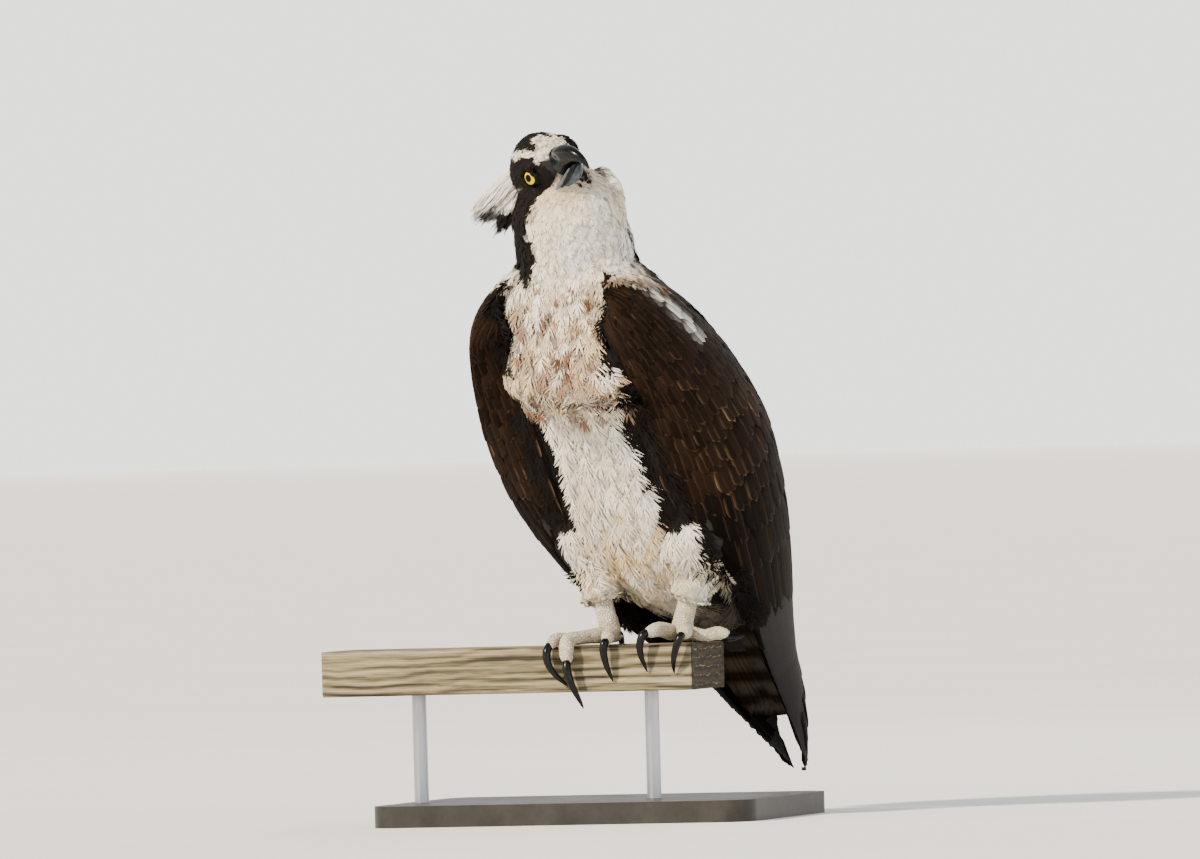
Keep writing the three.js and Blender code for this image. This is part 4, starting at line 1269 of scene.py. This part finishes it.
# Bill, as rows of: ahead, up, half width, half height
UPPER = [
    [8, -5, 12.5, 11], [14, -4.6, 11, 11.4], [20, -4.2, 9.6, 11], [27, -4.2, 8.6, 10.2], [34, -5.4, 7.5, 8.9],
    [41, -7.8, 6, 7.2], [46.4, -12, 4.4, 5.4], [49.4, -17, 3, 3.8], [49.6, -21.6, 1.9, 2.3], [48, -25.6, 0.7, 0.8],
]  # fmt: skip
LOWER = [
    [4, -20, 12, 4.8], [10, -20.4, 10, 4.8], [20, -20.6, 7.4, 4.4],
    [29, -19.8, 5, 3.3], [36, -18.6, 3.2, 2.2], [40, -17.6, 1.3, 1],
]  # fmt: skip


def bill_piece(rows, keel):
    """A horn shape along the bill's curve: rounded above, with sides that run to an edge below."""
    rows = np.asarray(rows, float)
    s = np.r_[0, np.cumsum(np.hypot(*np.diff(rows[:, :2], axis=0).T))]
    fine = table(np.c_[s, rows], np.linspace(0, s[-1], 64))
    f, u, wide, high = fine.T
    go = unit(np.gradient(fine[:, :2], axis=0))
    rise = np.stack([-go[:, 1], go[:, 0]], -1)
    a = np.linspace(0, 2 * math.pi, 40, endpoint=False)
    c, q = np.cos(a), np.sin(a)
    side = np.sign(c) * np.abs(c) ** np.where(q * keel > 0, 0.9, 1.25)
    reach = high[:, None] * q
    return from_head(f[:, None] + rise[:, :1] * reach, wide[:, None] * side, u[:, None] + rise[:, 1:] * reach)


def bill_tint(p):
    """Black horn that turns blue-grey at its base, with a dark nostril slit in a paler rim."""
    f, l, u = np.moveaxis(to_head(p), -1, 0)
    tint = mix(colour("#07080a"), colour("#262c32"), ramp(28, 20, f + 0.25 * (u + 4)) * ramp(4, -6, u))
    a, b = (f - 29.2) * 0.7, (u - 0.4) * 0.7
    slit, seen = np.hypot(a + b, (a - b) / 3.0), np.abs(l) > 5
    tint = mix(tint, colour("#5a6064"), 0.7 * (1 - ramp(1.5, 2.4, slit)) * seen)
    return mix(tint, colour("#020202"), (1 - ramp(0.8, 1.3, slit)) * seen)


def lower_tint(p):
    """Blue-grey horn that darkens towards the tip."""
    return colour("#4a5966") * mix(1.0, 0.25, ramp(24, 38, to_head(p)[:, :1]))


for name, rows, keel, tint_of in (("upper", UPPER, 1, bill_tint), ("lower", LOWER, -1, lower_tint)):
    points, faces = loft(bill_piece(rows, keel))
    piece(f"bill_{name}_horn", points, faces, HORN, tint=tint_of(points), stands_for=[f"bill_{name}"])

# The gape, a fleshy edge back to the corner of the mouth, and the dark inside of the mouth: the number of
# rings, the colour and rows of ahead, out, up and radius
MOUTH = {
    "gape": (30, "#5f6a72", [
        (33, 6.4, -14.6, 0.5), (26, 8.6, -15.8, 1.0), (19, 11.0, -17.2, 1.4), (13, 14.2, -18.6, 1.6),
        (9, 17.0, -19.4, 0.8),
    ]),
    "mouth": (24, "#060506", [
        (38, 1.5, -15.4, 1.6), (28, 4.5, -16.6, 3.0), (18, 7.5, -18.0, 3.6), (10, 12.0, -19.0, 2.6),
    ]),
}  # fmt: skip
for side, name in ((1, "left"), (-1, "right")):
    for part, (count, text, path) in MOUTH.items():
        rows = [[*from_head(f, side * l, u), r] for f, l, u, r in path]
        points, faces = swept(rows, count, 14, [0, 0, 1])
        piece(f"{part}_{name}", points, faces, HORN, tint=colour(text))

# Feet and claws: each toe's rows and its claw's rows of place along the rail, ahead, up and radius
TOES = {
    "right_inner": (
        [[-28, 8, 8, 7], [-24, 28, 6.4, 5.6], [-20.5, 40, 6.4, 5.6], [-19.5, 45.5, 4.4, 4.6]],
        [[-19.4, 44, 5, 3], [-20.6, 49, 1.5, 3.5], [-21.2, 49.6, -6, 3.1], [-19.4, 47.6, -17, 2.4],
         [-17.4, 44, -25, 1.5], [-16, 41.6, -30, 0.5]],
    ),
    "right_middle": (
        [[-36, 8, 8, 7], [-49, 31, 6.4, 5.8], [-54, 42.5, 4.5, 6.2], [-54, 47.6, -4, 6.2],
         [-53.5, 48.2, -11, 5]],
        [[-53.5, 48.2, -9, 3], [-52.8, 51.6, -18, 3.6], [-50, 51.6, -29, 3.1], [-46.4, 48.6, -39, 2.4],
         [-43.4, 45, -47, 1.4], [-42, 43, -51.5, 0.5]],
    ),
    "right_outer": (
        [[-40, 4, 8, 6.6], [-57, 20, 5.8, 5.2], [-66, 37, 5.8, 5.4], [-68.4, 45.6, 2, 4.6]],
        [[-68.2, 45, 3, 3], [-70.6, 49, -4, 3.5], [-69.4, 50, -14, 3], [-63, 48.6, -24, 2.3],
         [-55.5, 46, -31, 1.4], [-50, 44, -34.5, 0.5]],
    ),
    "right_hind": (
        [[-33, -6, 8, 6.4], [-36, -24, 6.4, 5.4], [-37.6, -36, 6, 4.8]],
        [[-37.4, -34, 6.5, 2.8], [-38, -44, 8.2, 3.1], [-38.6, -51.6, 5, 2.8], [-38.8, -55, -3, 2.3],
         [-38.4, -54.4, -11, 1.5], [-38, -52.4, -17, 0.5]],
    ),
    "left_inner": (
        [[26, 12, 9, 7], [22.5, 31, 12, 6.4], [20.5, 41, 11.5, 6], [17.4, 46, 10, 4.8]],
        [[18.6, 43.6, 11, 3], [13.6, 49.6, 8, 3.5], [10.6, 50.4, 0, 3.1], [10.8, 48.6, -9, 2.4],
         [12.4, 44.6, -17, 1.5], [13.8, 41.8, -22.5, 0.5]],
    ),
    "left_middle": (
        [[37, 12, 9, 7], [44, 31, 10.6, 6.2], [47, 41, 9.6, 5.8], [46.6, 45.6, 8, 4.6]],
        [[46.8, 43.6, 9.4, 3], [45, 49.6, 5, 3.5], [41.4, 50.2, -4, 3], [38.8, 48, -12.5, 2.3],
         [37.4, 44.4, -19.4, 1.4], [37, 41.8, -24, 0.5]],
    ),
    "left_outer": (
        [[40, 6, 8, 6.4], [54, 9, 6, 5.2], [65, 8.4, 7.4, 5.8], [72, 7.6, 6.4, 4.4]],
        [[69, 8, 4.6, 2.8], [74, 7, 3.6, 3], [79, 5.6, 3.4, 2.3], [83, 4.4, 4, 1.4], [86, 3.4, 5, 0.5]],
    ),
    "left_hind": (
        [[31, -2, 8, 6.4], [29, -20, 6.4, 5.4], [27.4, -33, 6, 4.8]],
        [[27.6, -31, 6.5, 2.8], [26.6, -42, 8.6, 3.1], [26, -51, 6, 2.8], [25.6, -54.8, -2, 2.3],
         [25.6, -54.4, -10, 1.5], [26, -52.4, -16, 0.5]],
    ),
}  # fmt: skip
GAP = 0.3


def scutes(pitch, high):
    """Cross plates on the upper side of a toe: a saw of soft steps every pitch mm, none below."""
    return lambda s, a: high * (np.abs(np.sin(math.pi * s / pitch)) ** 0.6 - 0.5) * ramp(-0.2, 0.5, np.sin(a))


def in_world(rows):
    """Rows of the tables above in the part's frame, just clear of the rail."""
    rows = np.asarray(rows, float)
    return np.c_[on_board(rows[:, 0], rows[:, 1], GAP + rows[:, 2]), rows[:, 3]]


for side, name, (x, y) in ((1, "left", (35, 0)), (-1, "right", (-31, -6))):
    shank = FEET + np.array([[x + side * 10, y + 4, 68], [x + side * 8, y + 1, 46], [x + side * 4, y, 28],
                             [x + side, y, 18], [x, y, 9.3]])  # fmt: skip
    parts = [swept(np.c_[shank, [8, 8, 8, 8.6, 10]], 60, 32, [0, -1, 0], scutes(3.0, 0.35))]
    for toe, (rows, claw) in TOES.items():
        if not toe.startswith(name):
            continue
        up = [0, 0, 1] if toe == "left_outer" else ALONG + [0, 0, 0.02]
        rows = in_world(rows)
        rows[:, 3] -= 0.25
        end = rows[-1].copy()
        end[:3] += unit(rows[-1, :3] - rows[-2, :3]) * rows[-1, 3] * 0.55
        end[3] *= 0.72
        parts.append(swept(np.r_[rows, [end]], 54, 28, up, scutes(2.8, 0.3)))
        points, faces = swept(in_world(claw), 40, 22, up)
        piece(f"claw_{toe}_horn", points, faces, HORN, tint=colour("#08090b"),
              stands_for=[f"claw_{toe}"])  # fmt: skip
    points, faces = merged(parts)
    points = points + 0.32 * unit(points - points.mean(0)) * noise(points, 4.0, 3)[:, None]
    piece(f"foot_{name}_skin", points, faces, SCALY,
          stands_for=[f"foot_{name}", f"tarsus_{name}"])  # fmt: skip

# Timber rail, which starts 271 mm to the right of the feet and lies 4.5 mm behind them
LONG, WIDE, THICK = 323.0, 89.0, 38.0
START, MIDDLE_LINE, AROUND = -271, -4.5, 168


def rail():
    """A worn board: a rounded rectangle along its length, grooved along the grain and ridged on its ends."""
    corner = 2.2
    a = np.radians(np.linspace(0, 90, 5))
    half = np.array([WIDE / 2 - corner, THICK / 2 - corner])
    outline = []
    for k, (sx, sz) in enumerate(((1, 1), (-1, 1), (-1, -1), (1, -1))):
        turn = a + k * math.pi / 2
        outline.append(np.c_[sx * half[0] + corner * np.cos(turn), sz * half[1] + corner * np.sin(turn)])
    outline = np.concatenate(outline)
    outline = np.r_[outline, outline[:1]]
    s = np.r_[0, np.cumsum(np.hypot(*np.diff(outline, axis=0).T))]
    fine = np.linspace(0, s[-1], AROUND, endpoint=False)
    n, z = np.interp(fine, s, outline[:, 0]), np.interp(fine, s, outline[:, 1])
    e = np.linspace(0.4, LONG - 0.4, 130) + START
    E, N, Z = e[:, None] + 0 * n, n[None] + 0 * e[:, None], z[None] + 0 * e[:, None]
    groove = noise(stack(E / 30, N, Z), 3.2, 2)
    inset = 0.35 + 0.28 * groove + 0.5 * (noise(stack(E / 12, N, Z), 5, 5) < -0.72)
    shrink = 1 - inset / np.maximum(np.hypot(N, Z), 1)
    top = (Z > THICK / 2 - 0.6) & (np.abs(N) < 44)
    shrink = np.where(top, 1 - 0.2 / THICK, shrink)
    rings = on_board(E, MIDDLE_LINE + N * shrink, -THICK / 2 + Z * shrink)
    caps = []
    for end, out in ((0, -1), (-1, 1)):
        scale = np.linspace(0.97, 0.03, 18)
        N2, Z2 = scale[:, None] * n, scale[:, None] * z
        ridge = 1.1 * np.abs(np.sin(Z2 / 7.4 * math.pi + 0.4 * noise(stack(N2, Z2, 0 * N2), 14, 3))) ** 0.5
        face = e[end] + 0.35 * out - out * (1.2 - ridge) * ramp(0.99, 0.9, scale[:, None])
        caps.append(on_board(face, MIDDLE_LINE + N2, -THICK / 2 + Z2))
    rings = np.concatenate([caps[0][::-1], rings, caps[1]])
    return rings.reshape(-1, 3), tube_faces(len(rings), AROUND)[:, ::-1]


points, faces = rail()
piece("rail_timber", points, faces, weathered_timber(), stands_for=["perch_rail"])

# Stand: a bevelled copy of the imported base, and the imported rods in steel
board = placed("stand_board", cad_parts["stand_base"].data.copy())
board.data.materials.clear()
board.data.materials.append(painted_board())
bevel = board.modifiers.new("worn edge", "BEVEL")
bevel.width, bevel.segments, bevel.limit_method, bevel.angle_limit = 0.0016, 3, "ANGLE", math.radians(50)
weld = board.modifiers.new("weld", "WELD")
weld.merge_threshold = 0.0001
board.modifiers.move(1, 0)
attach(board, "root")
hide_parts("stand_base")
steel = brushed_steel()
for name in ("stand_rod_left", "stand_rod_right"):
    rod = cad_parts[name]
    rod.data.materials.clear()
    rod.data.materials.append(steel)

# Stage, light and camera


def staged(name, points, faces, material):
    """One mesh of the stage, from points in metres."""
    mesh = bpy.data.meshes.new(name)
    mesh.from_pydata(points.reshape(-1, 3).tolist(), [], faces)
    mesh.materials.append(material)
    placed(name, mesh)


TURNS = np.linspace(0, 2 * math.pi, 96, endpoint=False)


def floor():
    """A round pale floor, wide enough to meet the horizon."""
    radius = np.array([0.2, 2, 12, 60, 160])[:, None]
    points = stack(radius * np.cos(TURNS), radius * np.sin(TURNS), 0 * radius * TURNS)
    staged("floor", points, tube_faces(5, 96)[:, ::-1].tolist() + [list(range(96))], pale_floor())


def wall():
    """A far round backdrop that glows as pale as the lit floor, so that no line shows between them."""
    points = stack(150 * np.cos(TURNS), 150 * np.sin(TURNS), np.array([-1.0, 40.0])[:, None])
    made, tree, shader = blank("pale studio backdrop", Base_Color=(0, 0, 0, 1), Roughness=1.0)
    shader.inputs["Specular IOR Level"].default_value = 0.0
    shader.inputs["Emission Color"].default_value = rgba("#fbfaf7")
    shader.inputs["Emission Strength"].default_value = 2.3
    staged("backdrop", points, tube_faces(2, 96).tolist(), made)


floor()
wall()
world = bpy.data.worlds.new("studio")
bpy.context.scene.world = world
world.use_nodes = True
sky = world.node_tree.nodes["Background"].inputs
sky["Color"].default_value = rgba("#f2f5fa")
sky["Strength"].default_value = 0.75


def lamp(name, kind, way, power, tint, **settings):
    """A light set by its reach in metres to the camera's right, towards the camera and up.

    The sun shines from that way; an area light stands there and faces the bird.
    """
    made = bpy.data.lights.new(name, kind)
    made.energy, made.color = power, colour(tint)
    for key, value in settings.items():
        setattr(made, key, value)
    obj = placed(name, made)
    place = Vector(way[0] * RIGHT + way[1] * TO_CAMERA + np.array([0, 0, way[2]]))
    if kind == "AREA":
        obj.location = place
        place = place - Vector((0.02, -0.05, 0.35))
    obj.rotation_euler = place.to_track_quat("Z", "Y").to_euler()


lamp("key", "SUN", (-0.72, 0.6, 0.62), 7.5, "#fff1da", angle=math.radians(5))
lamp("fill", "AREA", (2.6, 2.2, 1.2), 22, "#dfe9ff", size=2.2)
lamp("rim", "AREA", (1.6, -2.4, 2.2), 22, "#ffffff", size=1.4)

camera = bpy.data.cameras.new("camera")
LENS, SENSOR, VIEW_WIDE = 400, 36, 0.996
camera.lens, camera.sensor_width = LENS, SENSOR
camera.clip_start, camera.clip_end = 0.1, 400
eye = placed("camera", camera)
bpy.context.scene.camera = eye
AIM = FEET * MM + RIGHT * -0.0332 + np.array([0, 0, 0.1782])
AIM = AIM - TO_CAMERA * (AIM @ TO_CAMERA)
distance = VIEW_WIDE * LENS / SENSOR
back = Vector(TO_CAMERA)
roll = Matrix.Rotation(math.radians(-1.6), 3, back)
side = roll @ Vector(RIGHT)
up = back.cross(side)
pose = Matrix((side, up, back)).transposed().to_4x4()
pose.translation = Vector(AIM) + back * distance
eye.matrix_world = pose
